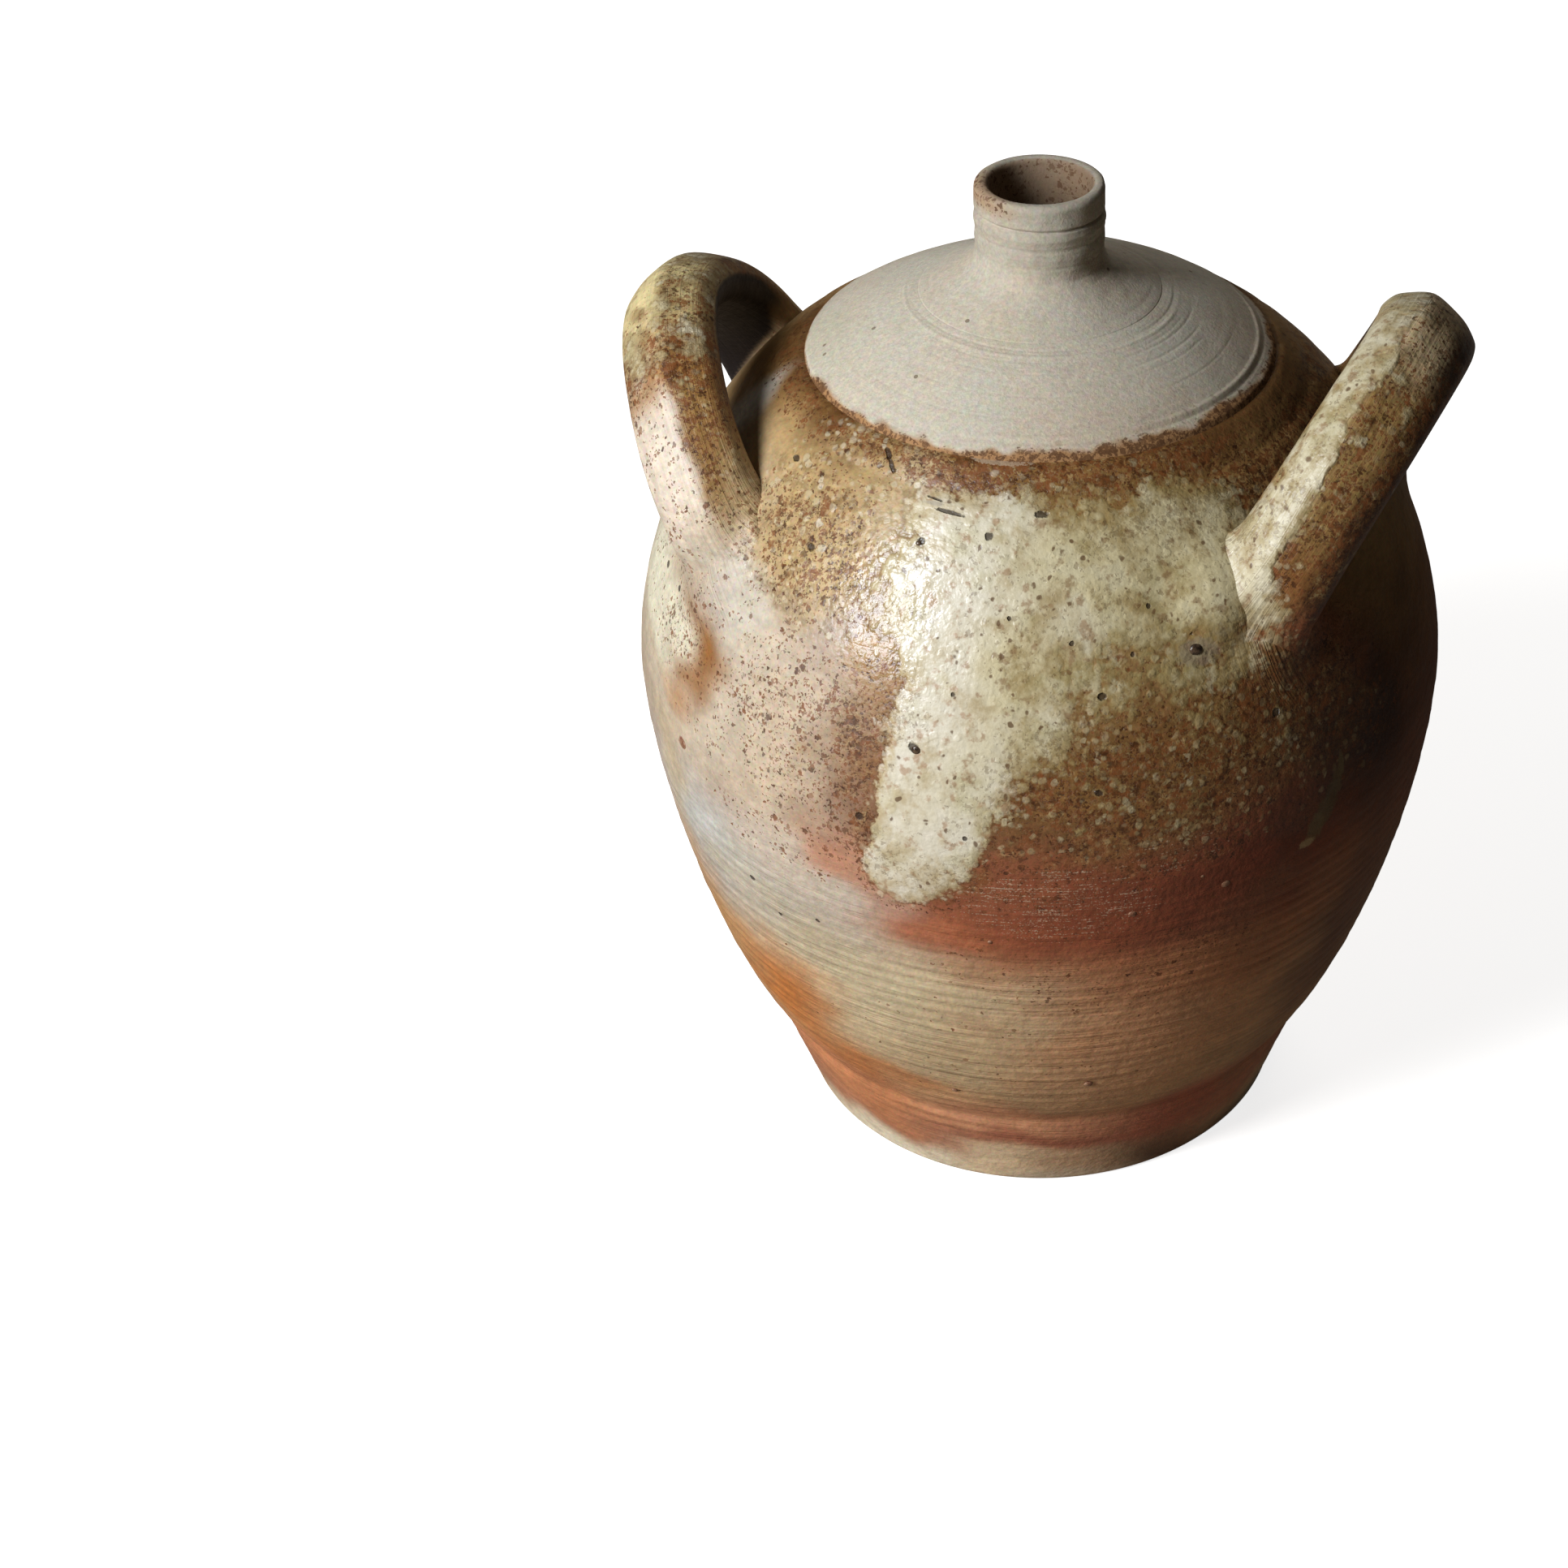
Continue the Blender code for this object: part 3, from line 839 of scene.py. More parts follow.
def left_strap_colour(share, across, out, points):
    """Colour, ash cover and iron along the left handle."""
    from_crown = np.abs(share - 0.5) * 2
    crown = soft((0.30 - from_crown) / 0.20)
    upper = soft(1 - np.abs(from_crown - 0.26) / 0.21)
    root = soft((from_crown - 0.64) / 0.16)
    outer_side = soft((across + 0.20) * 5.0 + 0.5 + 0.5 * waves(points, 0.02, 51))
    outer_side = outer_side * (1 - 0.75 * upper * soft(0.6 + waves(points, 0.015, 57)))
    # painted shade: the strap's underside is painted near black, and kept bare of ash and iron specks
    under = soft(-out * 4.0 + 0.25)
    edge = soft(-across * 3.0 - 1.9)
    colour = layered(mixed(srgb(160, 122, 70), srgb(214, 202, 186), outer_side), (
        ((160, 114, 62), upper * soft(0.5 + 0.7 * waves(points, 0.02, 55))),
        ((222, 206, 152), crown * 0.9),
        ((132, 88, 46), crown * 0.5 * soft(0.9 * waves(points, 0.012, 59))),
        ((194, 188, 176), root * 0.9),
        ((116, 80, 44), edge * 0.6 * (1 - root)),
        # painted shade on the underside
        ((17, 8, 6), under)))
    iron = 0.80 - 0.60 * outer_side + 0.25 * upper - 0.15 * crown
    iron = iron * (1 - root) + root * (0.08 + 0.75 * soft(-across * 3.0 - 1.2))
    ash = -0.36 + 0.30 * upper + 0.38 * crown - 0.20 * outer_side * (1 - upper)
    ash = ash + 0.16 * waves(points, 0.012, 52) - 0.6 * root - under
    return colour, ash, np.clip(iron, 0.05, 1.0) * (1 - under)


def right_strap_colour(share, across, out, points):
    """Colour, ash cover and iron along the right handle."""
    from_crown = np.abs(share - 0.5) * 2
    crown = soft((0.24 - from_crown) / 0.16)
    low = soft((from_crown - 0.5) / 0.2)
    boundary = 0.36 - 0.32 * soft((from_crown - 0.25) / 0.5)
    ragged = 0.5 * waves(points, 0.015, 53) + 0.3 * waves(points, 0.005, 58)
    inner_side = soft((-across - boundary) * 8.0 + 0.5 + ragged)
    foot = soft((from_crown - 0.80) / 0.10) * soft(across * 3.0 + 0.9)
    # painted shade: the strap's underside is painted near black, and kept bare of ash and iron specks
    under = soft(-out * 4.0 + 0.25)
    edge = soft(across * 2.4 - 0.9)
    brown = mixed(srgb(146, 118, 72), srgb(132, 86, 44), low)
    pale = mixed(srgb(192, 174, 130), srgb(228, 219, 192), low)
    colour = layered(mixed(brown, pale, inner_side), (
        ((206, 186, 150), crown * 0.8),
        ((150, 112, 64), 0.5 * inner_side * soft(waves(points, 0.013, 56) * 1.4 - 0.5)),
        ((128, 70, 48), foot * 0.8),
        ((58, 33, 19), edge * 0.9),
        # painted shade on the underside
        ((28, 14, 9), under)))
    iron = 0.72 - 0.46 * inner_side * (0.7 + 0.3 * low) + 0.2 * edge - 0.2 * crown
    ash = -0.36 + (0.72 + 0.20 * low) * inner_side * (1 - 0.2 * crown) + 0.12 * (1 - low)
    ash = ash + 0.26 * waves(points, 0.008, 54) - under - 0.2 * edge - 0.3 * foot
    return colour, ash, np.clip(iron, 0.05, 1.0) * (1 - under)


def strap_skin(name, node, turn, reach, ridge_place, inner_skirt, paint, glaze):
    """One handle, its roots smeared out on to the wall."""
    root_radius = float(wall_radius(HANDLE_ROOT_HEIGHT))
    half_chord = root_radius * math.sin(HANDLE_SPREAD)
    stand_off = root_radius * math.cos(HANDLE_SPREAD)
    mesh, strap_place, centres = strap_loft(name, half_chord, reach, ridge_place)
    share, across, out = strap_place.T
    move = Matrix.Translation((stand_off * math.cos(turn), stand_off * math.sin(turn), HANDLE_ROOT_HEIGHT))
    move = np.array(move @ Matrix.Rotation(turn, 4, "Z") @ Matrix.Rotation(HANDLE_LEAN, 4, "Y"))
    points = coordinates(mesh) @ move[:3, :3].T + move[:3, 3]
    centres = centres @ move[:3, :3].T + move[:3, 3]
    away = points - centres
    clear = clear_of_wall(points)
    azimuth, _, z, _ = polar(points)
    normal = wall_normal(azimuth, z)
    flat = away - normal * np.sum(away * normal, axis=1)[:, None]
    flat /= np.maximum(np.linalg.norm(flat, axis=1), 0.001)[:, None]
    inner_edge = soft(-across * 2.5 - 1.2)
    side_share = (0.06 + 0.94 * soft(0.60 + 0.75 * out)) * (1 - (1 - inner_skirt) * inner_edge)
    skirt = SKIRT_REACH * side_share * np.clip(1 - clear / SKIRT_REACH, 0.0, 1.0) ** 2.6
    points = points + flat * skirt[:, None]
    points = points + normal * (0.00025 * waves(points, 0.03, 61))[:, None]
    clear = clear_of_wall(points)
    too_deep = np.clip(-ROOT_SUNK - clear, 0.0, None)
    points = points + normal * too_deep[:, None]
    place(mesh, points)
    azimuth, _, _, height = polar(points)
    near = soft(1.15 - clear / (0.003 + 0.012 * soft(out * 2 + 0.9) + 0.006 * inner_edge))
    colour, ash, iron = paint(share, across, out, points)
    ash = ash + near * (ash_cover(points, azimuth, height) - ash)
    iron = iron + near * (iron_density(points, azimuth, height) - iron)
    plain = np.zeros(len(points))
    store(mesh, ash=ash, milk=plain + HANDLE_MILK, iron=iron, rings=plain, chalk=plain, pulled=0.55 + 0.45 * near,
          lengthwise=(across * HANDLE_WIDTH + out * HANDLE_THICKNESS) / 2 + 0.0006 * waves(points, 0.03, 62),
          gloss=np.clip(0.38 + 0.25 * iron + 0.3 * soft(ash + 0.5), 0, 1))
    store_colour(mesh, "fired_and_shading", mixed(colour, fired_and_shaded_colour(points, azimuth, height), near))
    piece = new_piece(name, mesh, glaze)
    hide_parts(node)
    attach(piece, "root")


# Node helpers

def feed(tree, socket, value):
    if isinstance(value, bpy.types.NodeSocket):
        tree.links.new(value, socket)
    else:
        socket.default_value = value


def new_node(tree, kind, settings=None, **inputs):
    """Put a node in a tree with its settings and inputs, and return its outputs."""
    made = tree.nodes.new(kind)
    for name, value in (settings or {}).items():
        setattr(made, name, value)
    for name, value in inputs.items():
        feed(tree, made.inputs[name], value)
    return made.outputs


def math_node(operation):
    """A function that puts one kind of Math node in a tree."""
    def put(tree, *values, clamp=False):
        made = tree.nodes.new("ShaderNodeMath")
        made.operation = operation
        made.use_clamp = clamp
        for socket, value in zip(made.inputs, values):
            feed(tree, socket, value)
        return made.outputs[0]
    return put


plus, minus, times, over = (math_node(kind) for kind in ("ADD", "SUBTRACT", "MULTIPLY", "DIVIDE"))
times_plus, larger, below = (math_node(kind) for kind in ("MULTIPLY_ADD", "MAXIMUM", "LESS_THAN"))
square_root, unsigned = math_node("SQRT"), math_node("ABSOLUTE")


def vector_node(operation, output="Vector"):
    """A function that puts one kind of Vector Math node in a tree."""
    def put(tree, *values, scale=None):
        made = tree.nodes.new("ShaderNodeVectorMath")
        made.operation = operation
        for socket, value in zip(made.inputs, values):
            feed(tree, socket, value)
        if scale is not None:
            feed(tree, made.inputs["Scale"], scale)
        return made.outputs[output]
    return put


together, apart, tinted, scaled = (vector_node(kind) for kind in ("ADD", "SUBTRACT", "MULTIPLY", "SCALE"))
dot_product, length_of = (vector_node(kind, "Value") for kind in ("DOT_PRODUCT", "LENGTH"))


def spread(tree, value, low, high, to_low=0.0, to_high=1.0, smooth=True):
    """Carry one range of values over to another."""
    limits = {"From Min": low, "From Max": high, "To Min": to_low, "To Max": to_high}
    settings = {"interpolation_type": "SMOOTHSTEP" if smooth else "LINEAR"}
    return new_node(tree, "ShaderNodeMapRange", settings, Value=value, **limits)["Result"]


def blend(tree, share, first, second):
    made = tree.nodes.new("ShaderNodeMix")
    made.data_type = "RGBA"
    feed(tree, made.inputs["Factor"], share)
    feed(tree, made.inputs[6], first)
    feed(tree, made.inputs[7], second)
    return made.outputs[2]


def grain(tree, position, scale, detail=3.0, roughness=0.55):
    return new_node(tree, "ShaderNodeTexNoise", Vector=position, Scale=scale, Detail=detail, Roughness=roughness)["Fac"]


def colour_noise(tree, position, scale):
    """Noise of its own in each of three channels, about zero."""
    noise = new_node(tree, "ShaderNodeTexNoise", Vector=position, Scale=scale, Detail=1.0)["Color"]
    return apart(tree, noise, (0.5, 0.5, 0.5))


def lines(tree, value, scale, detail=2.0):
    """Uneven lines across a single measure, such as height."""
    return new_node(tree, "ShaderNodeTexNoise", {"noise_dimensions": "1D"},
                    W=value, Scale=scale, Detail=detail, Roughness=0.6)["Fac"]


def cells(tree, position, scale):
    """The distance to the nearest of many scattered points, and a colour drawn for that point."""
    made = new_node(tree, "ShaderNodeTexVoronoi", Vector=position, Scale=scale)
    return made["Distance"], made["Color"]


def split(tree, vector):
    """The three parts of a vector or colour."""
    return tuple(new_node(tree, "ShaderNodeSeparateXYZ", Vector=vector))


def heaped(tree, *layers):
    """The height of several layers of relief together, each with its depth in metres."""
    total = 0.0
    for layer, depth in layers:
        total = times_plus(tree, layer, depth, total)
    return total


def finish_surface(tree, shader, colour, rough, height):
    """Give the shader its colour, its roughness and its relief, a height in metres."""
    bump = new_node(tree, "ShaderNodeBump", Distance=1.0, Strength=1.0, Height=height)
    for socket, value in (("Base Color", colour), ("Roughness", rough), ("Normal", bump["Normal"])):
        feed(tree, shader.inputs[socket], value)


def attribute(tree, name, output="Fac"):
    return new_node(tree, "ShaderNodeAttribute", {"attribute_name": name})[output]


def new_group(name, inputs, outputs):
    tree = bpy.data.node_groups.new(name, "ShaderNodeTree")
    for label, kind in inputs:
        tree.interface.new_socket(label, in_out="INPUT", socket_type=kind)
    for label, kind in outputs:
        tree.interface.new_socket(label, in_out="OUTPUT", socket_type=kind)
    return tree, tree.nodes.new("NodeGroupInput").outputs, tree.nodes.new("NodeGroupOutput").inputs


def use_group(tree, group, **values):
    return new_node(tree, "ShaderNodeGroup", {"node_tree": group}, **values)


# Shared effects

VECTOR, VALUE, COLOUR = "NodeSocketVector", "NodeSocketFloat", "NodeSocketColor"


def throwing_rings_group():
    tree, given, result = new_group("Throwing rings", [("Position", VECTOR), ("Strength", VALUE)],
                                    [("Tint", VALUE), ("Height", VALUE)])
    _, _, level = split(tree, given["Position"])
    sway = times(tree, grain(tree, given["Position"], 9.0, 1.0), 0.006)
    level = plus(tree, level, sway)
    broad = lines(tree, level, 210.0, 1.0)
    fine = lines(tree, level, 720.0, 2.0)
    patchy = spread(tree, grain(tree, given["Position"], 60.0, 3.0), 0.38, 0.60, 0.15, 1.0)
    crease = spread(tree, unsigned(tree, minus(tree, broad, 0.5)), 0.07, 0.0)
    crease = larger(tree, crease, spread(tree, fine, 0.60, 0.70, 0.0, 0.7))
    shown = times(tree, times(tree, crease, patchy), given["Strength"])
    swell = times(tree, minus(tree, broad, 0.5), given["Strength"])
    feed(tree, result["Tint"], shown)
    feed(tree, result["Height"], times_plus(tree, shown, -0.35, swell))
    return tree


def chalk_dashes_group():
    tree, given, result = new_group("Chalk dashes", [("Position", VECTOR), ("Strength", VALUE)], [("Mask", VALUE)])
    flat = tinted(tree, given["Position"], (1.0, 1.0, 22.0))
    dash = grain(tree, flat, 90.0, 3.0, 0.6)
    crumbs = grain(tree, given["Position"], 1500.0, 2.0, 0.6)
    dash = times_plus(tree, minus(tree, crumbs, 0.5), 0.9, dash)
    total = plus(tree, dash, given["Strength"])
    there = spread(tree, given["Strength"], 0.0, 0.15)
    feed(tree, result["Mask"], times(tree, spread(tree, total, 1.16, 1.24), there))
    return tree


def iron_specks_group():
    tree, given, result = new_group("Iron specks", [("Position", VECTOR), ("Density", VALUE)],
                                    [("Specks", VALUE), ("Cloud", VALUE), ("Tone", COLOUR)])
    position = given["Position"]
    bent = together(tree, position, scaled(tree, colour_noise(tree, position, 900.0), scale=0.0019))
    patchy = minus(tree, grain(tree, position, 120.0, 3.0, 0.65), 0.5)
    density = times_plus(tree, patchy, 1.5, given["Density"])
    density = times(tree, density, spread(tree, given["Density"], 0.0, 0.10), clamp=True)
    total = None
    for scale, size, share in ((900.0, 0.50, 1.1), (460.0, 0.44, 0.80)):
        distance, tint = cells(tree, bent, scale)
        draw, girth, depth = split(tree, tint)
        there = below(tree, draw, times(tree, density, share))
        radius = times_plus(tree, girth, size, 0.10)
        dot = spread(tree, minus(tree, radius, distance), -0.02, 0.07)
        dot = times(tree, dot, times(tree, there, times_plus(tree, depth, 0.4, 0.6)))
        total = dot if total is None else larger(tree, total, dot)
    clots = grain(tree, bent, 560.0, 4.0, 0.7)
    floor = times_plus(tree, density, -0.24, 0.735)
    total = larger(tree, total, spread(tree, minus(tree, clots, floor), 0.0, 0.05))
    coarse = grain(tree, bent, 250.0, 5.0, 0.7)
    floor = times_plus(tree, density, -0.22, 0.74)
    total = larger(tree, total, spread(tree, minus(tree, coarse, floor), 0.0, 0.05, 0.0, 0.85))
    feed(tree, result["Specks"], total)
    cloud = minus(tree, grain(tree, position, 90.0, 5.0, 0.7), 0.5)
    feed(tree, result["Cloud"], spread(tree, times_plus(tree, cloud, 1.8, given["Density"]), 0.56, 1.05))
    blotch = grain(tree, position, 380.0, 5.0, 0.75)
    tone = blend(tree, spread(tree, blotch, 0.36, 0.50), srgb(78, 52, 25), srgb(150, 110, 62))
    tone = blend(tree, spread(tree, blotch, 0.53, 0.64), tone, srgb(196, 176, 126))
    feed(tree, result["Tone"], tone)
    return tree


def ash_group():
    tree, given, result = new_group("Melted ash", [("Position", VECTOR), ("Cover", VALUE), ("Milk", VALUE)],
                                    [("Mask", VALUE), ("Rim", VALUE), ("Thickness", VALUE), ("Tone", COLOUR)])
    position = given["Position"]
    bent = together(tree, position, scaled(tree, colour_noise(tree, position, 300.0), scale=0.0026))
    bent = tinted(tree, bent, (1.0, 1.0, 0.8))
    distance, chance = cells(tree, bent, 300.0)
    _, clump, _ = split(tree, chance)
    broad = minus(tree, grain(tree, position, 80.0, 3.0), 0.5)
    fine = minus(tree, grain(tree, position, 330.0, 4.0, 0.66), 0.5)
    edge = times_plus(tree, given["Cover"], 2.0, times(tree, broad, 1.7))
    edge = times_plus(tree, minus(tree, 0.42, distance), 0.50, edge)
    edge = times_plus(tree, minus(tree, clump, 0.5), 0.25, edge)
    edge = times_plus(tree, fine, 1.5, edge)
    pool = spread(tree, edge, -0.02, 0.32)
    gently = together(tree, position, scaled(tree, colour_noise(tree, position, 420.0), scale=0.0016))
    spot, spot_chance = cells(tree, gently, 370.0)
    draw, girth, depth = split(tree, spot_chance)
    often = spread(tree, times_plus(tree, broad, 0.9, given["Cover"]), -0.50, 0.12, 0.0, 0.85)
    there = below(tree, draw, often)
    reach = times_plus(tree, girth, 0.36, 0.20)
    drop = times(tree, spread(tree, minus(tree, reach, spot), -0.12, 0.16), there)
    drop = times(tree, drop, times_plus(tree, depth, 0.60, 0.30))
    mask = larger(tree, pool, drop)
    shown = spread(tree, times_plus(tree, broad, 1.2, given["Cover"]), -0.35, 0.40, 0.62, 1.0)
    thick = larger(tree, spread(tree, edge, 0.10, 1.30), times(tree, drop, 0.7))
    milk = given["Milk"]
    thin_tone = blend(tree, milk, srgb(146, 126, 80), srgb(186, 170, 132))
    thick_tone = blend(tree, milk, srgb(206, 197, 160), srgb(222, 219, 203))
    tone = blend(tree, thick, thin_tone, thick_tone)
    milky = grain(tree, position, 115.0, 4.0, 0.60)
    greenish = grain(tree, position, 60.0, 5.0, 0.7)
    rusty = grain(tree, position, 260.0, 3.0, 0.58)
    for noise, low, high, most, olive, white in (
            (milky, 0.45, 0.72, 0.85, (152, 132, 86), (190, 176, 142)),
            (milky, 0.47, 0.36, 0.60, (208, 202, 172), (230, 226, 214)),
            (greenish, 0.45, 0.72, 0.55, (150, 142, 92), (196, 192, 152)),
            (rusty, 0.55, 0.68, 0.62, (120, 88, 54), (166, 128, 96))):
        shade = blend(tree, milk, srgb(*olive), srgb(*white))
        tone = blend(tree, spread(tree, noise, low, high, 0.0, most), tone, shade)
    for scale, share, size, shade in ((240.0, 0.07, 0.22, (96, 68, 40)), (470.0, 0.15, 0.34, (90, 62, 36))):
        pin, pin_chance = cells(tree, bent, scale)
        draw, girth, _ = split(tree, pin_chance)
        few = below(tree, draw, share)
        reach = times_plus(tree, girth, size, 0.04)
        dot = spread(tree, minus(tree, reach, pin), -0.08, 0.10)
        tone = blend(tree, times(tree, times(tree, dot, few), 0.80), tone, srgb(*shade))
    feed(tree, result["Mask"], times(tree, mask, shown))
    feed(tree, result["Rim"], minus(tree, spread(tree, edge, -0.45, 0.05), mask, clamp=True))
    smooth = spread(tree, times_plus(tree, fine, -1.1, edge), -0.2, 0.8)
    feed(tree, result["Thickness"], times_plus(tree, drop, 0.35, smooth))
    feed(tree, result["Tone"], tone)
    return tree


def mark_group():
    tree, given, result = new_group(
        "Fired mark", [("Position", VECTOR), ("Centre", VECTOR), ("Across", VECTOR), ("Width", VALUE),
                       ("Tallness", VALUE), ("Ragged", VALUE)], [("Mask", VALUE)])
    away = apart(tree, given["Position"], given["Centre"])
    side = dot_product(tree, away, given["Across"])
    length = length_of(tree, away)
    rest = minus(tree, times(tree, length, length), times(tree, side, side))
    up = square_root(tree, larger(tree, rest, 0.0))
    one = over(tree, side, given["Width"])
    two = over(tree, up, given["Tallness"])
    far = square_root(tree, plus(tree, times(tree, one, one), times(tree, two, two)))
    ragged = times_plus(tree, given["Ragged"], 0.9, far)
    feed(tree, result["Mask"], spread(tree, ragged, 1.6, 1.1))
    return tree


# Materials

def new_material(name):
    material = bpy.data.materials.new(name)
    material.use_nodes = True
    tree = material.node_tree
    return material, tree, tree.nodes["Principled BSDF"], new_node(tree, "ShaderNodeTexCoord")["Object"]


def on_wall(azimuth, height):
    """The point of the wall at an azimuth in degrees and a height in mm."""
    turn = math.radians(azimuth)
    radius = float(wall_radius(height * MM))
    return Vector((radius * math.cos(turn), radius * math.sin(turn), height * MM))


# Pits and dark spots: azimuth, height, half width in mm, half height in mm
PITS = (
    (-77.5, 265.0, 2.2, 1.1),
    (-87.0, 260.0, 1.3, 1.2),
    (-119.0, 248.0, 1.5, 1.2),
    (-99.0, 257.0, 1.2, 1.0),
    (-133.0, 263.0, 1.4, 1.1),
    (-51.0, 241.0, 1.4, 1.4),
    (-69.0, 222.0, 1.4, 1.1),
    (-102.0, 181.0, 1.4, 1.3),
    (-95.0, 206.0, 1.9, 1.4),
    (-152.0, 215.0, 1.4, 1.2),
    (-145.0, 215.0, 1.2, 1.0),
    (-122.5, 136.0, 1.3, 1.0),
    (-110.5, 132.0, 0.8, 0.8),
    (-118.0, 126.0, 0.8, 0.7),
    (-70.0, 195.0, 1.1, 1.0),
    (-43.5, 207.0, 1.3, 1.4),
    (-73.0, 236.0, 0.8, 0.8),
    (-60.5, 243.0, 0.8, 0.8),
    (-82.5, 242.0, 0.7, 0.7),
    (-64.0, 232.0, 0.7, 0.8),
    (-87.5, 180.0, 0.8, 0.8),
    (-90.0, 222.0, 0.8, 0.8),
    (-54.5, 234.5, 1.1, 1.0),
    (-47.5, 252.0, 0.8, 0.8),
    (38.0, 236.0, 1.4, 1.2),
    (84.0, 252.0, 1.5, 1.1),
    (101.0, 212.0, 1.3, 1.3),
    (140.0, 188.0, 1.2, 1.0),
    (60.0, 176.0, 1.4, 1.1),
    (168.0, 150.0, 1.0, 1.0),
)

# Cracks and chips: azimuth and height of both ends, half thickness in mm
CRACKS = (
    (-113.6, 272.9, -111.6, 271.2, 0.85),
    (-111.6, 271.2, -109.2, 268.9, 0.70),
    (-109.2, 268.9, -101.5, 267.4, 0.34),
    (-100.6, 266.5, -97.0, 265.9, 0.45),
    (-97.6, 264.2, -92.5, 263.6, 0.60),
)

# Stains: azimuth, height, half width in mm, half height in mm, colour, strength
SMEARS = (
    (-136.3, 172.0, 2.6, 1.9, (128, 66, 48), 0.85),
    (-33.3, 181.5, 1.5, 4.5, (124, 112, 74), 0.75),
    (-34.2, 177.0, 2.3, 5.5, (112, 98, 66), 0.75),
    (-35.3, 172.5, 3.1, 6.0, (104, 90, 60), 0.75),
    (-36.6, 168.0, 3.6, 6.0, (110, 96, 66), 0.75),
    (-37.9, 163.8, 3.8, 5.5, (124, 110, 78), 0.75),
    (-39.4, 159.0, 3.2, 1.8, (186, 168, 130), 0.8),
    (-98.6, 265.2, 3.4, 0.8, (178, 170, 154), 0.85),
    (-54.0, 229.5, 7.0, 4.5, (150, 140, 122), 0.55),
    (-50.0, 233.5, 4.5, 3.0, (140, 132, 116), 0.45),
)


def mark(tree, group, position, ragged, centre, across, width, tall):
    """Mask of one mark on the wall, its half sizes in metres."""
    return use_group(tree, group, Position=position, Centre=centre, Across=across,
                     Width=width, Tallness=tall, Ragged=ragged)["Mask"]


def crack_place(from_azimuth, from_height, to_azimuth, to_height, thickness):
    start, end = on_wall(from_azimuth, from_height), on_wall(to_azimuth, to_height)
    return (start + end) / 2, (end - start).normalized(), (end - start).length * 0.62, thickness * MM


def spot_place(azimuth, height, width, tall):
    turn = math.radians(azimuth)
    return on_wall(azimuth, height), (-math.sin(turn), math.cos(turn), 0.0), width * MM, tall * MM


def stoneware_glaze(name, groups, marks):
    """Fired wall, with its patches of painted shade and painted light, under iron specks and melted ash, with pits,
    cracks, stains and chalk where marks are wanted.
    """
    material, tree, shader, position = new_material(name)
    fired_and_shading = attribute(tree, "fired_and_shading", "Color")
    ash = use_group(tree, groups["ash"], Position=position, Cover=attribute(tree, "ash"), Milk=attribute(tree, "milk"))
    iron = use_group(tree, groups["iron"], Position=position, Density=attribute(tree, "iron"))
    rings = use_group(tree, groups["rings"], Position=position, Strength=attribute(tree, "rings"))
    gloss = attribute(tree, "gloss")

    streaks = minus(tree, lines(tree, attribute(tree, "lengthwise"), 700.0, 3.0), 0.5)
    streaks = times(tree, streaks, attribute(tree, "pulled"))
    cloud = grain(tree, position, 40.0, 4.0, 0.65)
    mottle = grain(tree, position, 240.0, 5.0, 0.7)
    light = spread(tree, cloud, 0.3, 0.7, 0.90, 1.10, smooth=False)
    light = times(tree, light, spread(tree, mottle, 0.3, 0.7, 0.84, 1.16, smooth=False))
    light = times_plus(tree, streaks, 0.9, light)
    flat = tinted(tree, position, (1.0, 1.0, 9.0))
    turned = minus(tree, grain(tree, flat, 55.0, 5.0, 0.7), 0.5)
    turned = times(tree, turned, times_plus(tree, attribute(tree, "rings"), 0.45, 0.25))
    light = plus(tree, light, turned)
    colour = scaled(tree, fired_and_shading, scale=light)
    hue = scaled(tree, colour_noise(tree, position, 900.0), scale=0.36)
    colour = tinted(tree, colour, together(tree, hue, (1.0, 1.0, 1.0)))
    colour = blend(tree, times(tree, rings["Tint"], 0.22), colour, tinted(tree, colour, (0.55, 0.46, 0.38)))
    colour = blend(tree, times(tree, iron["Cloud"], 0.48), colour, iron["Tone"])
    colour = blend(tree, times(tree, ash["Rim"], 0.50), colour, srgb(98, 74, 40))
    speck = blend(tree, spread(tree, mottle, 0.40, 0.60), srgb(66, 36, 18), srgb(126, 76, 40))
    colour = blend(tree, times(tree, iron["Specks"], 0.92), colour, speck)
    colour = blend(tree, times(tree, ash["Mask"], 0.95), colour, ash["Tone"])
    dots = times(tree, iron["Specks"], times(tree, ash["Mask"], 0.40))
    colour = blend(tree, dots, colour, srgb(104, 76, 44))

    relief = heaped(tree, (rings["Height"], 0.00030), (streaks, 0.00045), (ash["Thickness"], 0.00035),
                    (iron["Specks"], -0.00005), (grain(tree, position, 480.0, 2.0, 0.50), 0.00026),
                    (grain(tree, position, 230.0, 3.0, 0.50), 0.00034))

    if marks:
        chalk = use_group(tree, groups["chalk"], Position=position, Strength=attribute(tree, "chalk"))["Mask"]
        colour = blend(tree, times(tree, chalk, 0.55), colour, srgb(204, 184, 160))
        ragged = grain(tree, position, 700.0, 2.0)
        pits = 0.0
        for spot in [crack_place(*crack) for crack in CRACKS] + [spot_place(*pit) for pit in PITS]:
            pits = larger(tree, pits, mark(tree, groups["mark"], position, ragged, *spot))
        colour = blend(tree, times(tree, pits, 0.85), colour, srgb(50, 36, 27))
        relief = times_plus(tree, pits, -0.0006, relief)
        for *spot, shade, strength in SMEARS:
            mask = mark(tree, groups["mark"], position, ragged, *spot_place(*spot))
            colour = blend(tree, times(tree, mask, strength), colour, srgb(*shade))

    rough = spread(tree, gloss, 0.0, 1.0, 0.74, 0.21, smooth=False)
    rough = times_plus(tree, minus(tree, mottle, 0.5), 0.40, rough, clamp=True)
    shader.inputs["IOR"].default_value = 1.5
    shader.inputs["Specular IOR Level"].default_value = 0.46
    shader.inputs["Specular Tint"].default_value = (0.80, 0.87, 1.0, 1.0)
    finish_surface(tree, shader, colour, rough, relief)
    return material


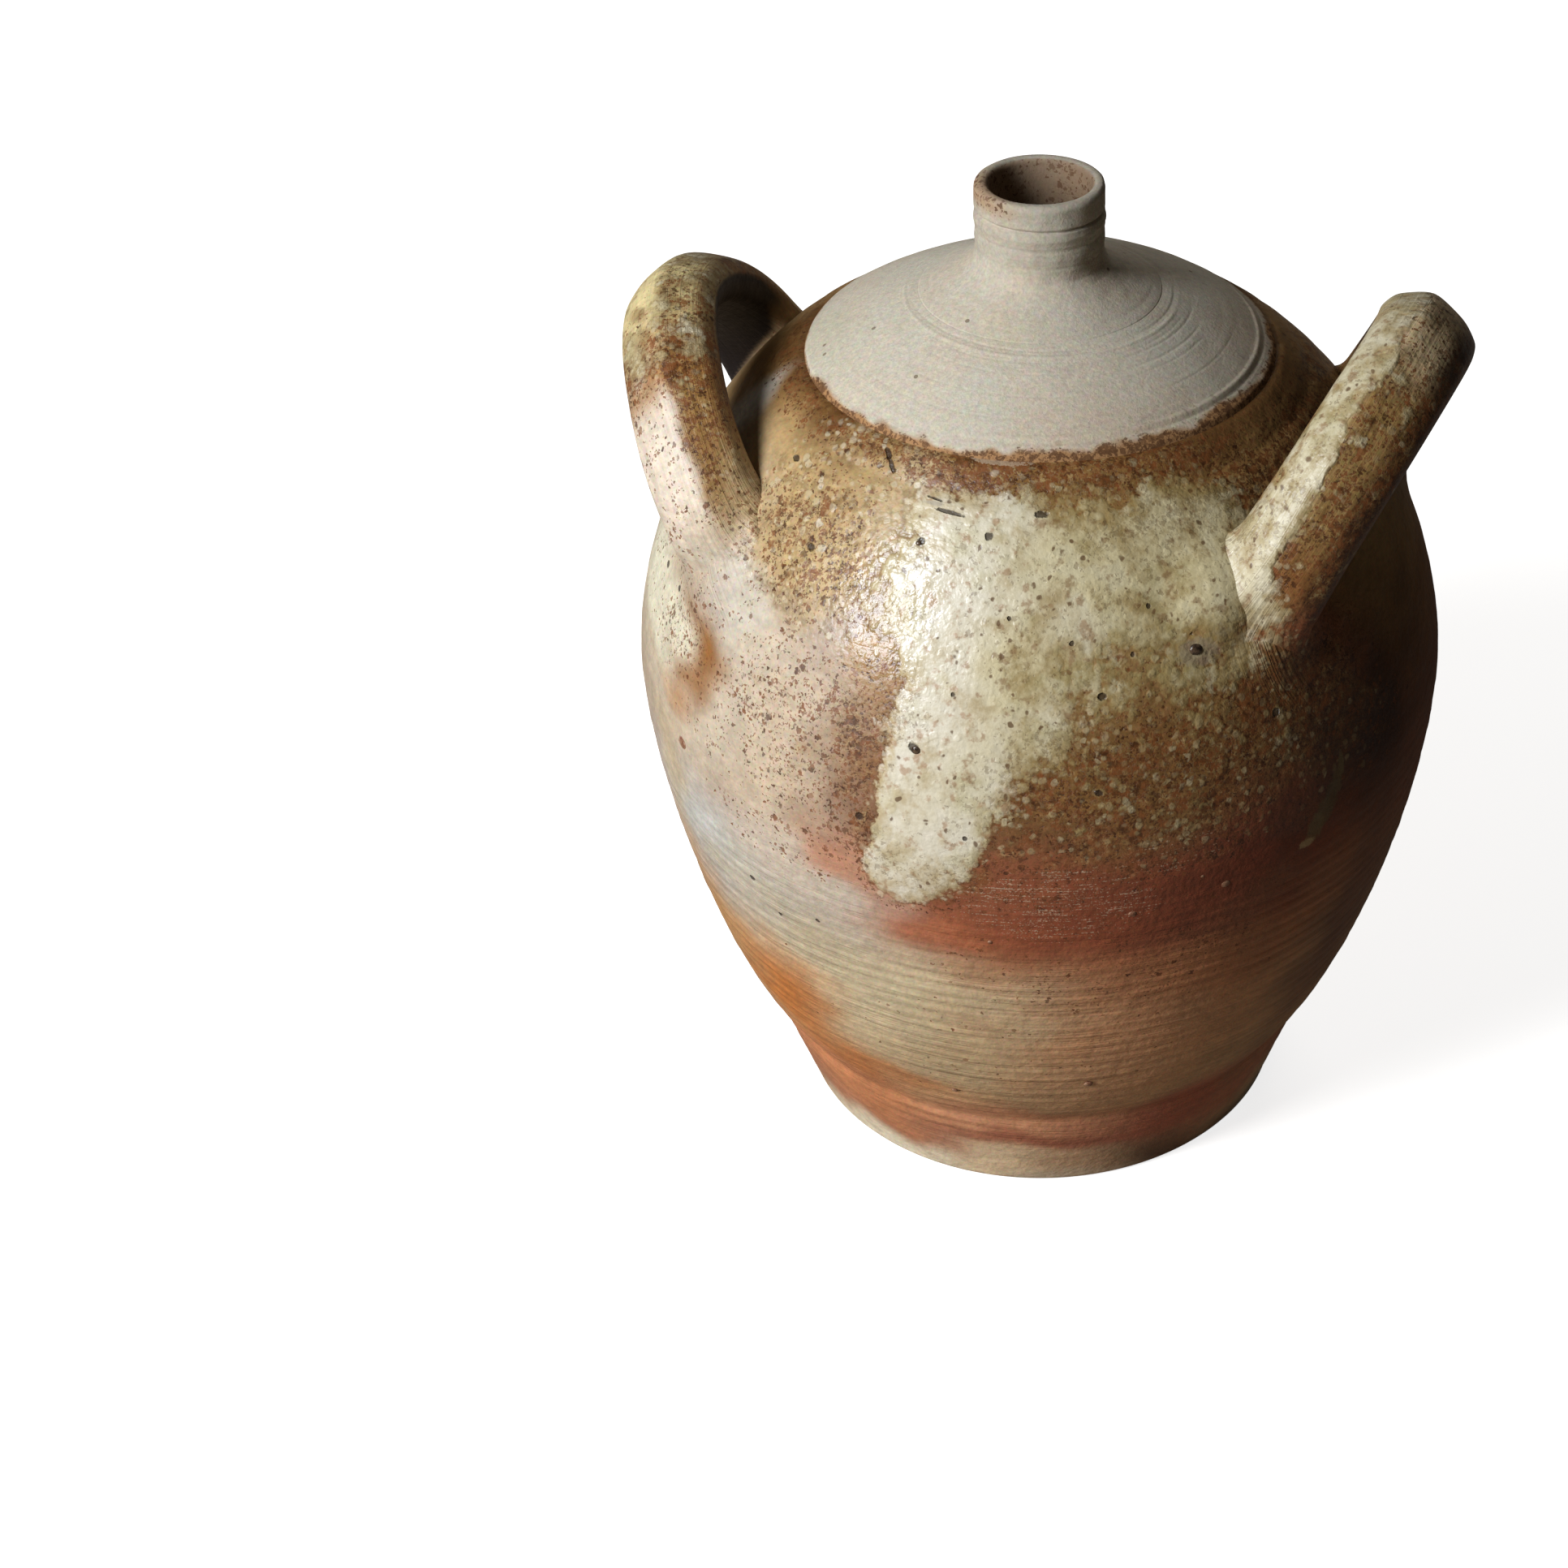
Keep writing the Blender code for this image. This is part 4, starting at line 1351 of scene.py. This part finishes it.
def bare_clay(name, groups, tone, across_radius):
    """Unglazed clay, its turning lines across the radius on the dome and across the height on the neck."""
    material, tree, shader, position = new_material(name)
    _, _, level = split(tree, position)
    from_axis = length_of(tree, tinted(tree, position, (1.0, 1.0, 0.0)))
    measure = times_plus(tree, grain(tree, position, 12.0, 1.0), 0.004, from_axis if across_radius else level)
    broad = lines(tree, measure, 260.0, 1.0)
    fine = lines(tree, measure, 1100.0, 2.0)
    cloud = grain(tree, position, 30.0, 4.0, 0.6)
    sand = grain(tree, position, 1100.0, 3.0, 0.7)
    grit = grain(tree, position, 420.0, 4.0, 0.75)
    warmer = tuple(part * change for part, change in zip(tone, (1.03, 0.96, 0.92, 1.0)))
    colour = blend(tree, spread(tree, cloud, 0.35, 0.65), tone, warmer)
    greenish = spread(tree, grain(tree, position, 22.0, 2.0), 0.52, 0.72)
    colour = blend(tree, times(tree, greenish, 0.35), colour, srgb(186, 182, 156))
    # darker up the neck, and a painted shade inside its bore
    light = times(tree, spread(tree, level, 0.297, 0.312, 1.0, 0.79),
                  spread(tree, from_axis, BORE_RADIUS, BORE_RADIUS + 0.0015, 0.36, 1.0))
    for noise, low, high, dark, bright in ((broad, 0.25, 0.75, 0.985, 1.015), (fine, 0.25, 0.75, 0.985, 1.015),
                                           (sand, 0.3, 0.7, 0.86, 1.14), (grit, 0.32, 0.68, 0.90, 1.08)):
        light = times(tree, light, spread(tree, noise, low, high, dark, bright, smooth=False))
    colour = scaled(tree, colour, scale=light)
    hue = scaled(tree, colour_noise(tree, position, 620.0), scale=0.30)
    colour = tinted(tree, colour, together(tree, hue, (1.0, 1.0, 1.0)))
    density = attribute(tree, "iron")
    iron = use_group(tree, groups["iron"], Position=position, Density=density)
    shown = times(tree, iron["Specks"], spread(tree, density, 0.02, 0.3))
    colour = blend(tree, times(tree, density, 0.92), colour, srgb(158, 114, 66))
    colour = blend(tree, times(tree, shown, 0.85), colour, srgb(82, 50, 24))
    distance, _ = cells(tree, position, 70.0)
    few = below(tree, distance, 0.05)
    colour = blend(tree, times(tree, few, 0.7), colour, srgb(108, 86, 66))
    shader.inputs["IOR"].default_value = 1.45
    relief = heaped(tree, (broad, 0.00005), (fine, 0.00002), (sand, 0.00016), (grit, 0.00016), (few, -0.0003))
    finish_surface(tree, shader, colour, spread(tree, sand, 0.3, 0.7, 0.72, 0.88, smooth=False), relief)
    return material


def bead_material(name, dark, light, roughness):
    material, tree, shader, position = new_material(name)
    shade = spread(tree, grain(tree, position, 700.0, 3.0, 0.6), 0.35, 0.65)
    rough = spread(tree, grain(tree, position, 900.0, 2.0), 0.3, 0.7, roughness, roughness + 0.15)
    relief = times(tree, grain(tree, position, 800.0, 3.0), 0.0002)
    finish_surface(tree, shader, blend(tree, shade, dark, light), rough, relief)
    return material


# Floor, light and view

def ray_kinds(tree):
    """What the camera sees straight on, and what it sees mirrored in a gloss."""
    rays = new_node(tree, "ShaderNodeLightPath")
    return larger(tree, rays["Is Camera Ray"], rays["Is Transmission Ray"]), rays["Is Glossy Ray"]


def floor_material():
    material, tree, shader, _ = new_material("pale_floor")
    shader.inputs["Roughness"].default_value = 0.9
    shader.inputs["Specular IOR Level"].default_value = 0.0
    seen, mirrored = ray_kinds(tree)
    shader.inputs["Emission Color"].default_value = WHITE
    feed(tree, shader.inputs["Emission Strength"], times_plus(tree, mirrored, 0.05, times(tree, seen, 0.80)))
    bounce = blend(tree, mirrored, (0.34, 0.27, 0.20, 1.0), (0.20, 0.16, 0.12, 1.0))
    feed(tree, shader.inputs["Base Color"], blend(tree, seen, bounce, FLOOR_GREY))
    return material


def pale_floor():
    shape = bmesh.new()
    bmesh.ops.create_circle(shape, cap_ends=True, radius=FLOOR_DISC, segments=96)
    floor = into_scene("floor", mesh_from(shape, "floor"))
    floor.data.materials.append(floor_material())


def room_light():
    world = bpy.data.worlds.new("room")
    bpy.context.scene.world = world
    world.use_nodes = True
    tree = world.node_tree
    background = tree.nodes["Background"]
    seen, _ = ray_kinds(tree)
    strength = times_plus(tree, seen, 1.0 - ROOM_LIGHT, ROOM_LIGHT)
    feed(tree, background.inputs["Strength"], strength)
    feed(tree, background.inputs["Color"], blend(tree, seen, ROOM_WARMTH, WHITE))


def lamp(name, azimuth, elevation, distance, size, power, colour):
    data = bpy.data.lights.new(name, "AREA")
    data.shape = "RECTANGLE"
    data.size, data.size_y = size
    data.energy = power
    data.color = colour
    light = into_scene(name, data)
    level = math.cos(elevation)
    offset = Vector((math.cos(azimuth) * level, math.sin(azimuth) * level, math.sin(elevation)))
    light.location = Vector(LIGHTS_AIM) + offset * distance
    light.rotation_euler = offset.to_track_quat("Z", "Y").to_euler()
    return light


def camera():
    data = bpy.data.cameras.new("view")
    data.sensor_width = SENSOR
    data.lens = FOCAL_PIXELS / PHOTO_PIXELS * SENSOR
    data.shift_x = -(JUG_AXIS_COLUMN - PHOTO_PIXELS / 2) / PHOTO_PIXELS
    data.clip_end = 50.0
    view = into_scene("view", data)
    view.location = (VIEW_DISTANCE * math.cos(VIEW_AZIMUTH), VIEW_DISTANCE * math.sin(VIEW_AZIMUTH), VIEW_HEIGHT)
    view.rotation_euler = (math.pi / 2 - VIEW_TILT, 0.0, VIEW_AZIMUTH + math.pi / 2)
    bpy.context.scene.camera = view


def main():
    scene = bpy.context.scene
    scene.view_settings.view_transform = "Standard"
    groups = {
        "rings": throwing_rings_group(),
        "iron": iron_specks_group(),
        "ash": ash_group(),
        "mark": mark_group(),
        "chalk": chalk_dashes_group(),
    }
    glaze = stoneware_glaze("body_glaze", groups, marks=True)
    handle_glaze = stoneware_glaze("handle_glaze", groups, marks=False)
    body_skin(glaze)
    beads("iron_beads", IRON_BEADS, bead_material("melted_iron", srgb(44, 34, 28), srgb(92, 74, 58), 0.16))
    beads("clay_nubs", CLAY_NUBS, bead_material("nub_clay", srgb(120, 78, 58), srgb(168, 134, 108), 0.42))
    dome_skin(bare_clay("dome_clay", groups, srgb(200, 196, 182), True))
    neck_skin(bare_clay("neck_clay", groups, srgb(196, 191, 177), False))
    strap_skin("left_strap", "left_handle", math.pi + HANDLE_FORWARD,
               LEFT_HANDLE_REACH, -0.16, 0.15, left_strap_colour, handle_glaze)
    strap_skin("right_strap", "right_handle", -HANDLE_FORWARD,
               RIGHT_HANDLE_REACH, -0.30, 0.45, right_strap_colour, handle_glaze)
    pale_floor()
    room_light()
    lamp("window", WINDOW_AZIMUTH, WINDOW_ELEVATION, WINDOW_DISTANCE, WINDOW_SIZE, WINDOW_POWER, (1.0, 0.99, 0.975))
    far = lamp("far_window", BACK_AZIMUTH, BACK_ELEVATION, BACK_DISTANCE, BACK_SIZE, BACK_POWER, (1.0, 0.97, 0.93))
    far.visible_glossy = False
    camera()


main()
